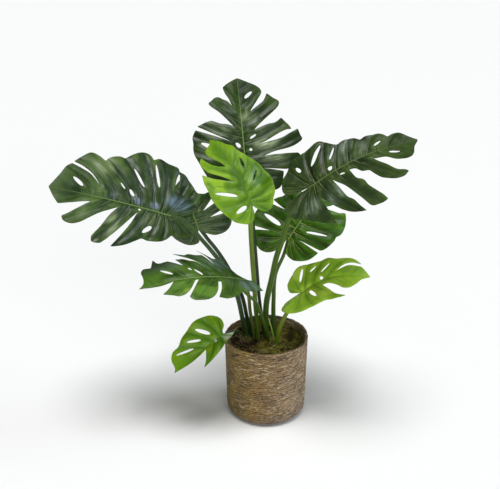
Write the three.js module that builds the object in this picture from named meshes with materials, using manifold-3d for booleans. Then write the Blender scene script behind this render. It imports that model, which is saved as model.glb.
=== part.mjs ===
import * as THREE from "three";
import { mergeVertices } from "three/addons/utils/BufferGeometryUtils.js";
import Module from "manifold-3d";

// Potted monstera. Millimetres, +Z up, origin at the centre of the basket's flat underside.
// The leaf over the rim and the bright leaves are on the -Y side, which is the front.

// Basket: a wall of wound cord round a floor
const BASKET_TOP_RADIUS = 99;
const BASKET_FOOT_RADIUS = 94.5;
const BASKET_HEIGHT = 204;
const BASKET_INNER_RADIUS = 90;
const FOOT_ROUND = 21;
const INNER_ROUND = 13;
const INNER_ROUND_STEPS = 3;
const FLOOR_THICKNESS = 8;
const CORD_COUNT = 24;
const CORD_RELIEF = 1.8;
const BASKET_SIDES = 32;
const LIP_WIDTH = 2;
const LIP_DEPTH = 3;
const BASKET_COLOR = 0x8c7355;

// Filling and moss
const FIT_GAP = 0.3;
const STEM_HOLE_GAP = 0.36;
const SOIL_TOP = 160;
const SOIL_COLOR = 0x2d2014;
const MOSS_EDGE = 184;
const MOSS_BANK = 175;
const MOSS_BANK_RADIUS = 74;
const MOSS_MIDDLE = 168;
const MOSS_MIDDLE_RADIUS = 44;
const MOSS_SWELL = 1.6;
const MOSS_SWELL_X = 14;
const MOSS_SWELL_Y = 17;
const MOSS_COLOR = 0x4a4a22;
const STEM_FOOT = 132;

// Blades
const BLADE_THICKNESS = 1.2;
const FOLD_SOFTNESS = 12;
const WAVE_HEIGHT = 2.5;
const WAVES_ALONG = 2;
const OUTLINE_STEP = 21;
const CORNER_STEP = 2.5;
const CORNER_SHARE = 0.4;
const SHEET_BACK = 90;
const SHEET_FRONT = 20;
const SHEET_REACH = 1.35;
const SHEET_COLUMNS = 8;
const SHEET_ROWS = 6;
const LONG_SHEET_ROWS = 8;
const LONG_LEAF = 200;
const MIDRIB_STEP = 0.35;
const SEAT_HEIGHT = 30;
const CUTTER_HEIGHT = 400;

// A hole's outline: share of its length, and share of its half width
const HOLE_OUTLINE = [[0, 0], [0.25, 0.9], [0.72, 0.95], [1, 0], [0.72, -0.95], [0.25, -0.9]];

// Stems
const STEM_SIDES = 8;
const EXTRA_STEPS = 4;
const FLARE_END = 0.75;
const FLARE_FADE = 0.4;
const WELD_DISTANCE = 1e-4;

// Each leaf has its own flat frame: u runs from the joint to the tip, v to the left of it.
// heading, pitch and roll place the frame in degrees. The surface sinks by droop at the tip,
// rises by fold on both sides of the midrib, and sinks by curl at half.
// A point is [u, v], and a third number marks a corner that is rounded by so many millimetres.
// left runs from the tip to the joint, and right runs back from the joint to the tip.
// A hole is [u, v, u, v, width], from one end of it to the other.
const LEAVES = {
  leaf_1: {
    joint: [-226, -20, 517], heading: -167, pitch: 22, roll: -42,
    length: 264, half: 125, droop: 26, fold: 0.1, curl: 12, color: 0x2f4f2b,
    left: [
      [264, -1, 4], [249, 24], [238, 37, 4], [220, 31], [187, 20], [171, 16, 2], [186, 29],
      [216, 57], [227, 65, 4], [220, 75], [205, 79], [190, 74], [149, 40], [111, 15, 2],
      [127, 39], [142, 71], [158, 99, 4], [155, 111], [138, 112], [129, 103], [106, 73],
      [67, 16, 2], [76, 41], [94, 78], [114, 113, 4], [87, 103], [63, 87], [50, 77, 3],
      [33, 79], [10, 74], [-7, 63], [-19, 50], [-40, 50], [-60, 42], [-73, 26], [-68, 12],
      [-40, 5], [-8, 1, 3],
    ],
    right: [
      [-52, -14], [-65, -28], [-68, -51], [-63, -77], [-47, -97], [-31, -115], [-18, -119, 3],
      [-14, -128], [8, -132], [33, -136], [47, -127, 3], [58, -139], [72, -142], [92, -132],
      [112, -114, 3], [124, -115], [146, -105], [155, -92, 3], [168, -101], [188, -106],
      [205, -93], [222, -74, 3], [201, -67], [179, -53], [156, -27, 2], [182, -51], [202, -61],
      [225, -69, 3], [235, -60], [246, -36],
    ],
    holes: [
      [217, -36, 193, -18, 9], [114, -47, 102, -34, 4], [91, -37, 80, -22, 7],
      [89, -92, 60, -50, 6], [41, -117, 26, -60, 7], [-18, -112, -14, -68, 8],
      [66, 8, 60, 7, 5], [50, 63, 31, 42, 10],
    ],
  },
  leaf_2: {
    joint: [-48, 80, 583], heading: 99, pitch: 58, roll: -3,
    length: 236, half: 125, droop: 30, fold: 0.05, curl: 12, color: 0x30502c,
    left: [
      [235, 0, 4], [222, 24], [212, 37, 4], [196, 32], [181, 25], [163, 19, 2], [175, 28],
      [182, 40], [187, 49], [186, 57], [179, 66], [173, 74, 4], [165, 69], [148, 50],
      [133, 37], [111, 20, 2], [117, 33], [120, 49], [129, 70, 4], [125, 85], [116, 104, 3],
      [95, 66], [74, 29, 2], [92, 69], [108, 109, 3], [90, 117], [77, 116], [63, 117],
      [48, 115], [25, 105], [3, 95], [-22, 80], [-38, 57], [-41, 32], [-27, 12], [-8, 2, 3],
    ],
    right: [
      [-30, -12], [-47, -32], [-48, -55], [-40, -77], [-15, -86], [-3, -88, 3], [2, -64],
      [6, -40, 2], [1, -96, 3], [19, -126], [34, -130], [39, -126, 4], [38, -85], [36, -46, 2],
      [45, -72], [54, -111], [64, -130], [73, -139], [86, -135], [99, -131, 3], [88, -110],
      [77, -89], [65, -39, 2], [72, -55], [84, -76], [97, -104], [98, -116, 3], [108, -111],
      [127, -94, 3], [116, -79], [113, -62], [100, -28, 2], [112, -40], [130, -61],
      [154, -88], [164, -93], [170, -92], [179, -79], [191, -66, 3], [172, -56], [159, -40],
      [146, -22, 2], [161, -33], [177, -44], [194, -54], [201, -53], [209, -47], [227, -15],
    ],
    holes: [
      [197, -31, 181, -13, 8], [70, 18, 59, 8, 8], [88, -31, 79, -16, 5], [55, -16, 49, -15, 7],
      [76, 98, 52, 52, 12],
    ],
  },
  leaf_3: {
    joint: [98, -30, 589], heading: -3, pitch: 30, roll: 29,
    length: 247, half: 125, droop: 26, fold: 0.25, curl: 8, color: 0x2c4a27,
    left: [
      [247, 2, 4], [229, 22], [215, 37], [203, 39], [191, 36, 3], [186, 44], [176, 52],
      [163, 54], [148, 56], [135, 53, 3], [124, 64], [108, 70], [94, 70], [83, 68, 3],
      [73, 76], [62, 88], [50, 96], [25, 90], [0, 85], [-27, 83], [-40, 65], [-60, 46],
      [-68, 25], [-62, 10], [-40, 2], [-8, 1, 3],
    ],
    right: [
      [-40, -6], [-62, -14], [-75, -32], [-68, -60], [-55, -78], [-24, -104], [11, -137],
      [29, -148, 3], [24, -119], [15, -75], [10, -48, 2], [40, -106], [53, -126], [68, -140],
      [96, -151, 3], [87, -129], [78, -104], [68, -89], [57, -48], [47, -14, 2], [72, -55],
      [96, -112], [110, -142], [122, -146], [137, -146], [145, -143, 3], [138, -123],
      [118, -82], [111, -57], [99, -43], [89, -8, 2], [101, -11], [114, -29], [128, -37],
      [137, -55], [148, -75], [162, -87], [178, -98], [191, -97], [205, -87, 3], [200, -80],
      [184, -67], [167, -38], [146, -5, 2], [170, -14], [188, -33], [210, -44], [222, -41],
      [228, -34], [235, -15],
    ],
    holes: [
      [-20, 60, -13, 44, 8], [50, 85, 14, 45, 9], [76, 64, 57, 40, 5], [56, 22, 46, 17, 9],
      [174, 31, 157, 27, 5], [203, -13, 181, -3, 6], [78, -12, 66, -6, 5],
    ],
  },
  leaf_4: {
    joint: [-162, 70, 450], heading: 141, pitch: 65, roll: -38,
    length: 117, half: 75, droop: 20, fold: 0.05, curl: 8, color: 0x33512d,
    left: [
      [117, 0, 4], [108, 15], [96, 29], [84, 38, 3], [58, 16, 2], [66, 53, 3], [45, 68],
      [20, 71], [0, 64], [-15, 55], [-34, 33], [-36, 10], [-24, 4], [-8, 2, 3],
    ],
    right: [
      [-23, -17], [-32, -32], [-34, -48], [-32, -62], [-23, -76], [-8, -84], [8, -85, 3],
      [12, -35, 2], [22, -84, 3], [45, -77, 3], [31, -25, 2], [60, -66, 3], [68, -52],
      [68, -41], [74, -27, 3], [95, -20], [108, -12],
    ],
    holes: [],
  },
  leaf_5: {
    joint: [57, 70, 427], heading: 41, pitch: 43, roll: 30,
    length: 163, half: 100, droop: 15, fold: 0.05, curl: 8, color: 0x3d6b1f,
    left: [
      [163, 0, 4], [150, 24], [128, 42, 3], [104, 16, 2], [110, 58, 3], [92, 66], [75, 70],
      [65, 79], [55, 86, 3], [51, 66], [48, 47, 2], [46, 66], [44, 89, 3], [28, 101],
      [12, 104], [1, 103], [-14, 96], [-24, 91, 3], [-15, 49, 2], [-31, 82, 3], [-42, 75],
      [-58, 62], [-66, 45], [-64, 28], [-52, 13], [-30, 5], [-8, 2, 3],
    ],
    right: [
      [-19, -4], [-40, -12], [-46, -23], [-47, -38], [-41, -52], [-29, -66], [-14, -74],
      [-1, -78, 3], [1, -24, 2], [6, -79, 3], [11, -84], [28, -91], [46, -94], [53, -92, 3],
      [68, -98], [87, -96], [109, -85], [116, -78], [109, -66], [103, -42], [92, -18, 2],
      [112, -38], [132, -50, 3], [146, -34], [156, -16],
    ],
    holes: [[13, 83, 9, 34, 11], [45, -74, 27, -26, 6]],
  },
  leaf_6: {
    joint: [-39, -60, 564], heading: 150, pitch: 57, roll: -17,
    length: 160, half: 85, droop: 26, fold: 0.05, curl: 8, color: 0x7cad2f,
    left: [
      [160, -1, 4], [151, 6], [145, 20], [138, 30], [127, 30], [117, 23], [103, 13],
      [91, 9, 2], [101, 27], [111, 38], [121, 44], [132, 48, 3], [126, 56], [112, 61],
      [98, 58, 3], [86, 44], [72, 29], [54, 11, 2], [64, 29], [75, 46], [87, 61], [99, 73, 3],
      [79, 80], [63, 81], [44, 83], [24, 82], [1, 76], [-18, 64], [-33, 48], [-41, 34],
      [-42, 21], [-36, 9], [-24, 3], [-8, 1, 3],
    ],
    right: [
      [-19, -6], [-27, -12], [-35, -22], [-38, -39], [-31, -54], [-19, -67], [-6, -82],
      [8, -88], [25, -85], [46, -79], [62, -77], [75, -70], [92, -57], [110, -45], [124, -42],
      [134, -31], [145, -21],
    ],
    holes: [
      [95, -38, 69, -32, 7], [52, -57, 36, -36, 5], [51, 69, 23, 24, 8], [-8, 48, -6, 16, 10],
    ],
  },
  leaf_7: {
    joint: [-59, -60, 376], heading: -158, pitch: 15, roll: -18,
    length: 227, half: 90, droop: 56, fold: 0, curl: 8, color: 0x3f7428,
    left: [
      [227, -2, 4], [219, -1], [200, 3], [180, 4], [167, 1], [154, -3, 2], [171, 19],
      [184, 30, 3], [166, 37], [153, 45], [141, 43], [128, 33], [108, 2, 2], [101, 2, 2],
      [113, 21], [132, 51, 3], [126, 59], [111, 63], [93, 63], [77, 54], [66, 38], [59, 12, 2],
      [52, 13, 2], [57, 35], [68, 58, 3], [48, 62], [34, 60], [19, 52], [11, 44, 3], [7, 37, 2],
      [-8, 39, 3], [-20, 40], [-34, 33], [-47, 32, 2], [-38, 16], [-29, 3],
    ],
    right: [
      [-15, -1], [0, -9], [13, -28], [25, -51], [38, -66], [51, -73], [64, -92], [77, -110, 2],
      [66, -90], [50, -42, 2], [70, -87, 3], [84, -90], [98, -99], [110, -97], [133, -102, 2],
      [108, -84], [87, -61], [72, -28, 2], [90, -62], [103, -69], [118, -79], [134, -78, 2],
      [122, -50, 2], [152, -74, 3], [172, -73], [180, -90, 2], [190, -62, 3], [206, -66, 4],
      [212, -55], [212, -34], [216, -14],
    ],
    holes: [[174, -46, 151, -26, 7], [115, -41, 109, -32, 5], [103, -34, 88, -13, 6]],
  },
  leaf_8: {
    joint: [-108, -70, 234], heading: -153, pitch: -28, roll: -34,
    length: 134, half: 60, droop: 6, fold: 0.35, curl: 0, color: 0x69a02a,
    left: [
      [134, 1, 3], [110, 5], [88, 8], [63, 7], [44, 4, 2], [61, 28], [74, 39, 3], [53, 37],
      [21, 30], [-3, 21], [-20, 18], [-36, 11, 2], [-11, 2, 2],
    ],
    right: [
      [-12, -6], [-23, -15], [-27, -28], [-23, -40], [-10, -52], [0, -56], [17, -60],
      [32, -60], [53, -55], [73, -49], [90, -39], [108, -37], [118, -30], [123, -21],
      [126, -6],
    ],
    holes: [
      [36, -46, 14, -18, 9], [69, -35, 40, -20, 6], [106, -27, 65, -15, 5], [18, 1, 10, 1, 6],
    ],
  },
  leaf_9: {
    joint: [83, -40, 333], heading: -22, pitch: 34, roll: 34,
    length: 152, half: 70, droop: 50, fold: 0.25, curl: 4, color: 0x78a828,
    left: [
      [152, 2, 3], [142, 24], [138, 31, 3], [115, 38], [99, 33], [87, 27, 2], [100, 38],
      [118, 44], [139, 37, 3], [129, 50], [116, 57], [91, 58], [74, 64], [49, 63], [11, 65],
      [-13, 65], [-30, 54], [-43, 35], [-39, 17], [-19, 6], [-8, 2, 2],
    ],
    right: [
      [-36, 0], [-59, -2], [-70, -14], [-54, -34], [-37, -46], [8, -61], [37, -57], [62, -49],
      [76, -51], [95, -49], [107, -47, 3], [84, -35], [67, -16], [52, 0, 2], [68, 0],
      [86, -10], [98, -21], [110, -24], [123, -15], [134, -3], [146, 1],
    ],
    holes: [
      [8, 57, -4, 27, 8], [42, 53, 26, 41, 4], [76, 50, 52, 33, 4], [38, -28, 19, -5, 8],
      [55, 19, 47, 19, 7],
    ],
  },
};

// Each stem runs from its foot in the filling, given at the moss, through these points.
// One with a leaf ends under that leaf's joint. Its lower part is wider by the share flare.
const STEMS = {
  petiole_1: {
    leaf: "leaf_1", radius: 5.2, flare: 0.2, color: 0x33512a,
    path: [[-47, 39, 178], [-56, 37, 221], [-69, 34, 287], [-97, 27, 361], [-126, 20, 408],
      [-150, 14, 442], [-193, 2, 500]],
  },
  petiole_2: {
    leaf: "leaf_2", radius: 4.5, color: 0x26401f,
    path: [[-4, 50, 178], [-9, 51, 216], [-16, 54, 268], [-21, 58, 332], [-27, 64, 408],
      [-34, 71, 481], [-44, 86, 550]],
  },
  petiole_3: {
    leaf: "leaf_3", radius: 6.2, flare: 0.15, color: 0x3a5526,
    path: [[0, 34, 178], [0, 28, 267], [12, 20, 338], [23, 12, 401], [36, 5, 447],
      [48, -3, 498], [82, -20, 562]],
  },
  petiole_4: {
    leaf: "leaf_4", radius: 4.7, flare: 0.1, color: 0x26401f,
    path: [[-36, 45, 178], [-45, 49, 216], [-58, 54, 276], [-87, 62, 340], [-115, 70, 386],
      [-141, 78, 418], [-155, 80, 438]],
  },
  petiole_5: {
    leaf: "leaf_5", radius: 4.2, flare: 0.3, color: 0x3a5a28,
    path: [[19, 49, 178], [18, 52, 213], [18, 56, 266], [22, 61, 331], [41, 68, 378],
      [52, 77, 412]],
  },
  petiole_6: {
    leaf: "leaf_6", radius: 5.4, color: 0x6d8436,
    path: [[-20, 29, 178], [-22, 22, 223], [-26, 12, 273], [-29, 0, 332], [-33, -14, 395],
      [-37, -33, 479], [-39, -50, 545]],
  },
  petiole_7: {
    leaf: "leaf_7", radius: 4.2, color: 0x4d6f2c,
    path: [[6, 16, 178], [-6, 7, 227], [-18, -9, 274], [-26, -20, 299], [-39, -31, 318],
      [-54, -46, 342], [-60, -58, 364]],
  },
  petiole_8: {
    leaf: "leaf_8", radius: 2.8, color: 0x5e8a30,
    path: [[-52, 24, 178], [-62, 5, 203], [-74, -15, 219], [-90, -40, 228], [-104, -62, 231]],
  },
  petiole_9: {
    leaf: "leaf_9", radius: 5, color: 0x728f3c,
    path: [[24, -5, 178], [30, -12, 220], [37, -17, 245], [46, -22, 268], [76, -36, 320]],
  },
  old_stalk: {
    leaf: null, radius: 4.2, color: 0x53652f,
    path: [[-29, 34, 178], [-35, 27, 225], [-39, 22, 255], [-41, 17, 284], [-45, 10, 320]],
  },
};

// The young sheath stands beside the stem of leaf 9.
const SHEATH_FOOT = [20, 6, 178];
const SHEATH_TOP = [5, 8, 241];
const SHEATH_RADIUS = 3;
const SHEATH_TIP_RADIUS = 0.9;

const wasm = await Module();
wasm.setup();

function solidOf(geometry) {
  const bare = geometry.index ? geometry.toNonIndexed() : geometry.clone();
  bare.deleteAttribute("normal");
  bare.deleteAttribute("uv");
  const merged = mergeVertices(bare, WELD_DISTANCE);
  return new wasm.Manifold(new wasm.Mesh({
    numProp: 3,
    vertProperties: new Float32Array(merged.attributes.position.array),
    triVerts: new Uint32Array(merged.index.array),
  }));
}

function geometryOf(solid) {
  const mesh = solid.getMesh();
  const geometry = new THREE.BufferGeometry();
  geometry.setAttribute("position", new THREE.BufferAttribute(mesh.vertProperties, 3));
  geometry.setIndex(new THREE.BufferAttribute(mesh.triVerts, 1));
  return geometry;
}

// Surface height above the leaf's flat frame
function heightAt(leaf, u, v) {
  const reach = Math.min(1, Math.abs(v) / leaf.half);
  const fold = leaf.fold * (Math.hypot(v, FOLD_SOFTNESS) - FOLD_SOFTNESS);
  const turn = (2 * Math.PI * WAVES_ALONG * u) / leaf.length + v / leaf.half;
  const wave = WAVE_HEIGHT * reach * reach * Math.sin(turn);
  return fold + wave - leaf.droop * (u / leaf.length) ** 2 - leaf.curl * (v / leaf.half) ** 2;
}

function leafMatrix(leaf) {
  const heading = THREE.MathUtils.degToRad(leaf.heading);
  const pitch = THREE.MathUtils.degToRad(leaf.pitch);
  const roll = THREE.MathUtils.degToRad(leaf.roll);
  const along = new THREE.Vector3(
    Math.cos(pitch) * Math.cos(heading), Math.cos(pitch) * Math.sin(heading), Math.sin(pitch));
  const level = new THREE.Vector3(0, 0, 1).cross(along).normalize();
  const across = level.applyAxisAngle(along, roll);
  const out = along.clone().cross(across);
  return new THREE.Matrix4().makeBasis(along, across, out).setPosition(...leaf.joint);
}

// Smooth runs between corners, and a rounded corner where two runs meet
function outlineOf(leaf) {
  const points = [...leaf.left, ...leaf.right];
  const runs = [];
  let run = [points[0]];
  for (const point of [...points.slice(1), points[0]]) {
    run.push(point);
    if (point[2]) {
      runs.push(run);
      run = [point];
    }
  }
  const lines = runs.map((part) => {
    const curve = new THREE.CatmullRomCurve3(
      part.map(([u, v]) => new THREE.Vector3(u, v, 0)), false, "centripetal");
    const count = Math.max(1, Math.round(curve.getLength() / OUTLINE_STEP), part.length > 2 ? 2 : 1);
    return curve.getSpacedPoints(count);
  });
  const outline = [];
  lines.forEach((line, i) => {
    const next = lines[(i + 1) % lines.length];
    const corner = line[line.length - 1];
    const before = line[line.length - 2];
    const after = next[1];
    const radius = runs[i][runs[i].length - 1][2];
    const toward = (point) => {
      const share = Math.min(CORNER_SHARE, radius / corner.distanceTo(point));
      return corner.clone().lerp(point, share);
    };
    const a = toward(before);
    const b = toward(after);
    outline.push(...line.slice(1, -1), a);
    if (radius > CORNER_STEP) {
      outline.push(corner.clone().lerp(a.clone().lerp(b, 0.5), 0.5));
    }
    outline.push(b);
  });
  return outline.map((p) => new THREE.Vector2(p.x, p.y));
}

// A lens from one end to the other
function holeOf([u1, v1, u2, v2, width]) {
  const from = new THREE.Vector2(u1, v1);
  const to = new THREE.Vector2(u2, v2);
  const side = to.clone().sub(from).normalize().rotateAround(new THREE.Vector2(), Math.PI / 2);
  return HOLE_OUTLINE.map(([t, s]) => (
    from.clone().lerp(to, t).addScaledVector(side, (s * width) / 2)
  ));
}

// A sheet that follows the leaf's surface between two offsets, alike on both faces
function sheetOf(leaf, low, high) {
  const uFrom = -SHEET_BACK;
  const uTo = leaf.length + SHEET_FRONT;
  const reach = leaf.half * SHEET_REACH;
  const uCount = leaf.length > LONG_LEAF ? LONG_SHEET_ROWS : SHEET_ROWS;
  const vCount = SHEET_COLUMNS;
  const plane = new THREE.PlaneGeometry(uTo - uFrom, 2, uCount, vCount);
  const flat = plane.attributes.position;
  const positions = [];
  for (const offset of [high, low]) {
    for (let i = 0; i < flat.count; i += 1) {
      const s = flat.getY(i);
      const u = flat.getX(i) + (uFrom + uTo) / 2;
      const v = reach * s * (MIDRIB_STEP + (1 - MIDRIB_STEP) * Math.abs(s));
      positions.push(u, v, heightAt(leaf, u, v) + offset);
    }
  }
  const index = [];
  const faces = plane.index.array;
  for (let i = 0; i < faces.length; i += 3) {
    const [a, b, c] = [faces[i], faces[i + 1], faces[i + 2]];
    index.push(a, b, c, a + flat.count, c + flat.count, b + flat.count);
  }
  const row = uCount + 1;
  const border = [];
  for (let i = 0; i < uCount; i += 1) border.push(i);
  for (let j = 0; j < vCount; j += 1) border.push(j * row + uCount);
  for (let i = uCount; i > 0; i -= 1) border.push(vCount * row + i);
  for (let j = vCount; j > 0; j -= 1) border.push(j * row);
  border.forEach((a, i) => {
    const b = border[(i + 1) % border.length];
    index.push(a, b, a + flat.count, b, b + flat.count, a + flat.count);
  });
  const sheet = new THREE.BufferGeometry();
  sheet.setAttribute("position", new THREE.Float32BufferAttribute(positions, 3));
  sheet.setIndex(index);
  return sheet;
}

function bladeOf(leaf) {
  const shape = new THREE.Shape(outlineOf(leaf));
  shape.holes = leaf.holes.map((hole) => new THREE.Path(holeOf(hole)));
  const cutter = new THREE.ExtrudeGeometry(shape, { depth: CUTTER_HEIGHT, bevelEnabled: false });
  cutter.translate(0, 0, -CUTTER_HEIGHT / 2);
  const sheet = sheetOf(leaf, -BLADE_THICKNESS / 2, BLADE_THICKNESS / 2);
  const blade = geometryOf(solidOf(sheet).intersect(solidOf(cutter)));
  return blade.applyMatrix4(leafMatrix(leaf));
}

// Centre line of a stem, upright in the filling
function centreLine(stem, sink) {
  const points = stem.path.map((p) => new THREE.Vector3(...p));
  const foot = points[0];
  const line = [new THREE.Vector3(foot.x, foot.y, STEM_FOOT - sink), ...points];
  if (stem.leaf) {
    const past = new THREE.Vector3(0, 0, 2 * stem.radius);
    line.push(past.applyMatrix4(leafMatrix(LEAVES[stem.leaf])));
  }
  return new THREE.CatmullRomCurve3(line, false, "centripetal");
}

// Widens each section about its own centre, which is the centre nearest to its points
function flare(tube, centres, share) {
  const place = tube.attributes.position;
  const point = new THREE.Vector3();
  for (let i = 0; i < place.count; i += 1) {
    point.fromBufferAttribute(place, i);
    const gaps = centres.map((centre) => centre.distanceTo(point));
    const at = gaps.indexOf(Math.min(...gaps));
    const left = (FLARE_END - at / (centres.length - 1)) / FLARE_FADE;
    const wider = 1 + share * THREE.MathUtils.clamp(left, 0, 1);
    point.sub(centres[at]).multiplyScalar(wider).add(centres[at]);
    place.setXYZ(i, point.x, point.y, point.z);
  }
}

function tubeOf(stem, radius, sink) {
  const section = new THREE.Shape();
  section.absarc(0, 0, radius, 0, 2 * Math.PI, false);
  const line = centreLine(stem, sink);
  const steps = stem.path.length + EXTRA_STEPS;
  const tube = new THREE.ExtrudeGeometry(section, {
    steps, curveSegments: STEM_SIDES / 2, bevelEnabled: false, extrudePath: line,
  });
  if (stem.flare) flare(tube, line.getSpacedPoints(steps), stem.flare);
  return tube;
}

// A stem ends just short of the blade's underside
function stemOf(stem) {
  const tube = solidOf(tubeOf(stem, stem.radius, 0));
  if (!stem.leaf) return geometryOf(tube);
  const leaf = LEAVES[stem.leaf];
  const seat = sheetOf(leaf, -BLADE_THICKNESS / 2 - FIT_GAP, SEAT_HEIGHT);
  return geometryOf(tube.subtract(solidOf(seat.applyMatrix4(leafMatrix(leaf)))));
}

function sheathOf(extra) {
  const foot = new THREE.Vector3(...SHEATH_FOOT);
  const top = new THREE.Vector3(...SHEATH_TOP);
  const lead = top.clone().sub(foot).normalize();
  const deep = foot.clone().addScaledVector(lead, -(foot.z - STEM_FOOT + extra) / lead.z);
  const height = deep.distanceTo(top);
  const cone = new THREE.CylinderGeometry(
    SHEATH_TIP_RADIUS + extra, SHEATH_RADIUS + extra, height, STEM_SIDES);
  cone.rotateX(Math.PI / 2).translate(0, 0, height / 2);
  cone.applyQuaternion(new THREE.Quaternion().setFromUnitVectors(new THREE.Vector3(0, 0, 1), lead));
  return cone.translate(deep.x, deep.y, deep.z);
}

function revolved(profile) {
  const points = profile.map(([r, z]) => new THREE.Vector2(r, z));
  const body = new THREE.LatheGeometry(points, BASKET_SIDES);
  return body.rotateX(Math.PI / 2);
}

// The round between the basket's floor and the inside of its wall, from the wall down
function innerRound(gap) {
  const points = [];
  for (let i = 0; i <= INNER_ROUND_STEPS; i += 1) {
    const turn = (i / INNER_ROUND_STEPS) * (Math.PI / 2);
    points.push([
      BASKET_INNER_RADIUS - INNER_ROUND + (INNER_ROUND - gap) * Math.cos(turn),
      FLOOR_THICKNESS + INNER_ROUND - (INNER_ROUND - gap) * Math.sin(turn),
    ]);
  }
  return points;
}

function basketOf() {
  const profile = [[0, 0], [BASKET_FOOT_RADIUS - FOOT_ROUND, 0]];
  const pitch = BASKET_HEIGHT / CORD_COUNT;
  const wallAt = (z) => {
    const lean = BASKET_FOOT_RADIUS + ((BASKET_TOP_RADIUS - BASKET_FOOT_RADIUS) * z) / BASKET_HEIGHT;
    const below = Math.max(0, FOOT_ROUND - z);
    return lean - (FOOT_ROUND - Math.sqrt(FOOT_ROUND ** 2 - below ** 2));
  };
  for (let i = 0; i < CORD_COUNT; i += 1) {
    const crown = (i + 0.5) * pitch;
    profile.push([wallAt(crown), crown]);
    const groove = (i + 1) * pitch;
    profile.push([wallAt(groove) - CORD_RELIEF, groove]);
  }
  profile.push([BASKET_INNER_RADIUS + LIP_WIDTH, BASKET_HEIGHT],
    [BASKET_INNER_RADIUS, BASKET_HEIGHT - LIP_DEPTH],
    ...innerRound(0), [0, FLOOR_THICKNESS]);
  return revolved(profile);
}

function withStemHoles(solid) {
  let left = solid;
  for (const stem of Object.values(STEMS)) {
    left = left.subtract(solidOf(tubeOf(stem, stem.radius + STEM_HOLE_GAP, FIT_GAP)));
  }
  return left.subtract(solidOf(sheathOf(FIT_GAP)));
}

function soilOf() {
  const radius = BASKET_INNER_RADIUS - FIT_GAP;
  const bottom = FLOOR_THICKNESS + FIT_GAP;
  const fill = revolved([
    [0, bottom], ...innerRound(FIT_GAP).reverse(), [radius, SOIL_TOP], [0, SOIL_TOP]]);
  return geometryOf(withStemHoles(solidOf(fill)));
}

function mossOf() {
  const radius = BASKET_INNER_RADIUS - FIT_GAP;
  const bottom = SOIL_TOP + FIT_GAP;
  const layer = revolved([
    [0, bottom], [radius, bottom], [radius, MOSS_EDGE], [MOSS_BANK_RADIUS, MOSS_BANK],
    [MOSS_MIDDLE_RADIUS, MOSS_MIDDLE], [0, MOSS_MIDDLE]]);
  const place = layer.attributes.position;
  for (let i = 0; i < place.count; i += 1) {
    const [x, y, z] = [place.getX(i), place.getY(i), place.getZ(i)];
    if (z > MOSS_MIDDLE - 1 && z < MOSS_EDGE) {
      place.setZ(i, z + MOSS_SWELL * Math.sin(x / MOSS_SWELL_X) * Math.cos(y / MOSS_SWELL_Y));
    }
  }
  return geometryOf(withStemHoles(solidOf(layer)));
}

const plant = new THREE.Group();

function add(name, geometry, color, roughness) {
  geometry.computeVertexNormals();
  const material = new THREE.MeshStandardMaterial({ color, roughness, metalness: 0 });
  const mesh = new THREE.Mesh(geometry, material);
  mesh.name = name;
  plant.add(mesh);
}

add("basket", basketOf(), BASKET_COLOR, 0.9);
add("soil", soilOf(), SOIL_COLOR, 1);
add("moss", mossOf(), MOSS_COLOR, 1);
for (const [name, leaf] of Object.entries(LEAVES)) {
  add(name, bladeOf(leaf), leaf.color, 0.35);
}
for (const [name, stem] of Object.entries(STEMS)) {
  add(name, stemOf(stem), stem.color, 0.45);
}
add("young_sheath", sheathOf(0), 0x88a24a, 0.5);

export default plant;
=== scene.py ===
"""Potted monstera: nine cut leaves on tall stems, in a round basket of wound grass cord."""
import math
from functools import partialmethod

import bpy
import numpy as np
from bpy.props import FloatProperty, FloatVectorProperty, IntProperty, PointerProperty
from mathutils import Matrix, Vector, noise
from mathutils.geometry import delaunay_2d_cdt


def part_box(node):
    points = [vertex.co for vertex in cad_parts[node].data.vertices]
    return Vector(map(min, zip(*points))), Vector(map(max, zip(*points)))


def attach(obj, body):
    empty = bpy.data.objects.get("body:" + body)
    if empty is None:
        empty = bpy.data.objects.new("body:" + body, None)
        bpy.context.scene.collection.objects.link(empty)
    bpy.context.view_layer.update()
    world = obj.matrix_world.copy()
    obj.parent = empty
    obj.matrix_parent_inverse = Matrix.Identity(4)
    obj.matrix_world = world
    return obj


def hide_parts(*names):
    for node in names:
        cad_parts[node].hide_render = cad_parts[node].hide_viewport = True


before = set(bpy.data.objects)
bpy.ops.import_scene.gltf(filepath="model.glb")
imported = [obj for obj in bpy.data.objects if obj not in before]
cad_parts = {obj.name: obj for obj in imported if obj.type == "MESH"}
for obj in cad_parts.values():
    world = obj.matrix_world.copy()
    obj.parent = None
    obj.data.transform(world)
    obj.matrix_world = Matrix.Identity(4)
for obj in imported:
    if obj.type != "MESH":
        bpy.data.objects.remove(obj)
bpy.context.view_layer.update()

bl_info = {
    "name": "Potted monstera",
    "version": (1, 0, 0),
    "blender": (4, 5, 0),
    "location": "3D View > Sidebar > Monstera",
    "description": "Builds a potted monstera with split leaves in a wound cord basket",
    "category": "Add Mesh",
}

MM = 0.001
BODY = "root"

BASKET_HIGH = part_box("basket")[1]
MOSS_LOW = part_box("moss")[0]

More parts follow.
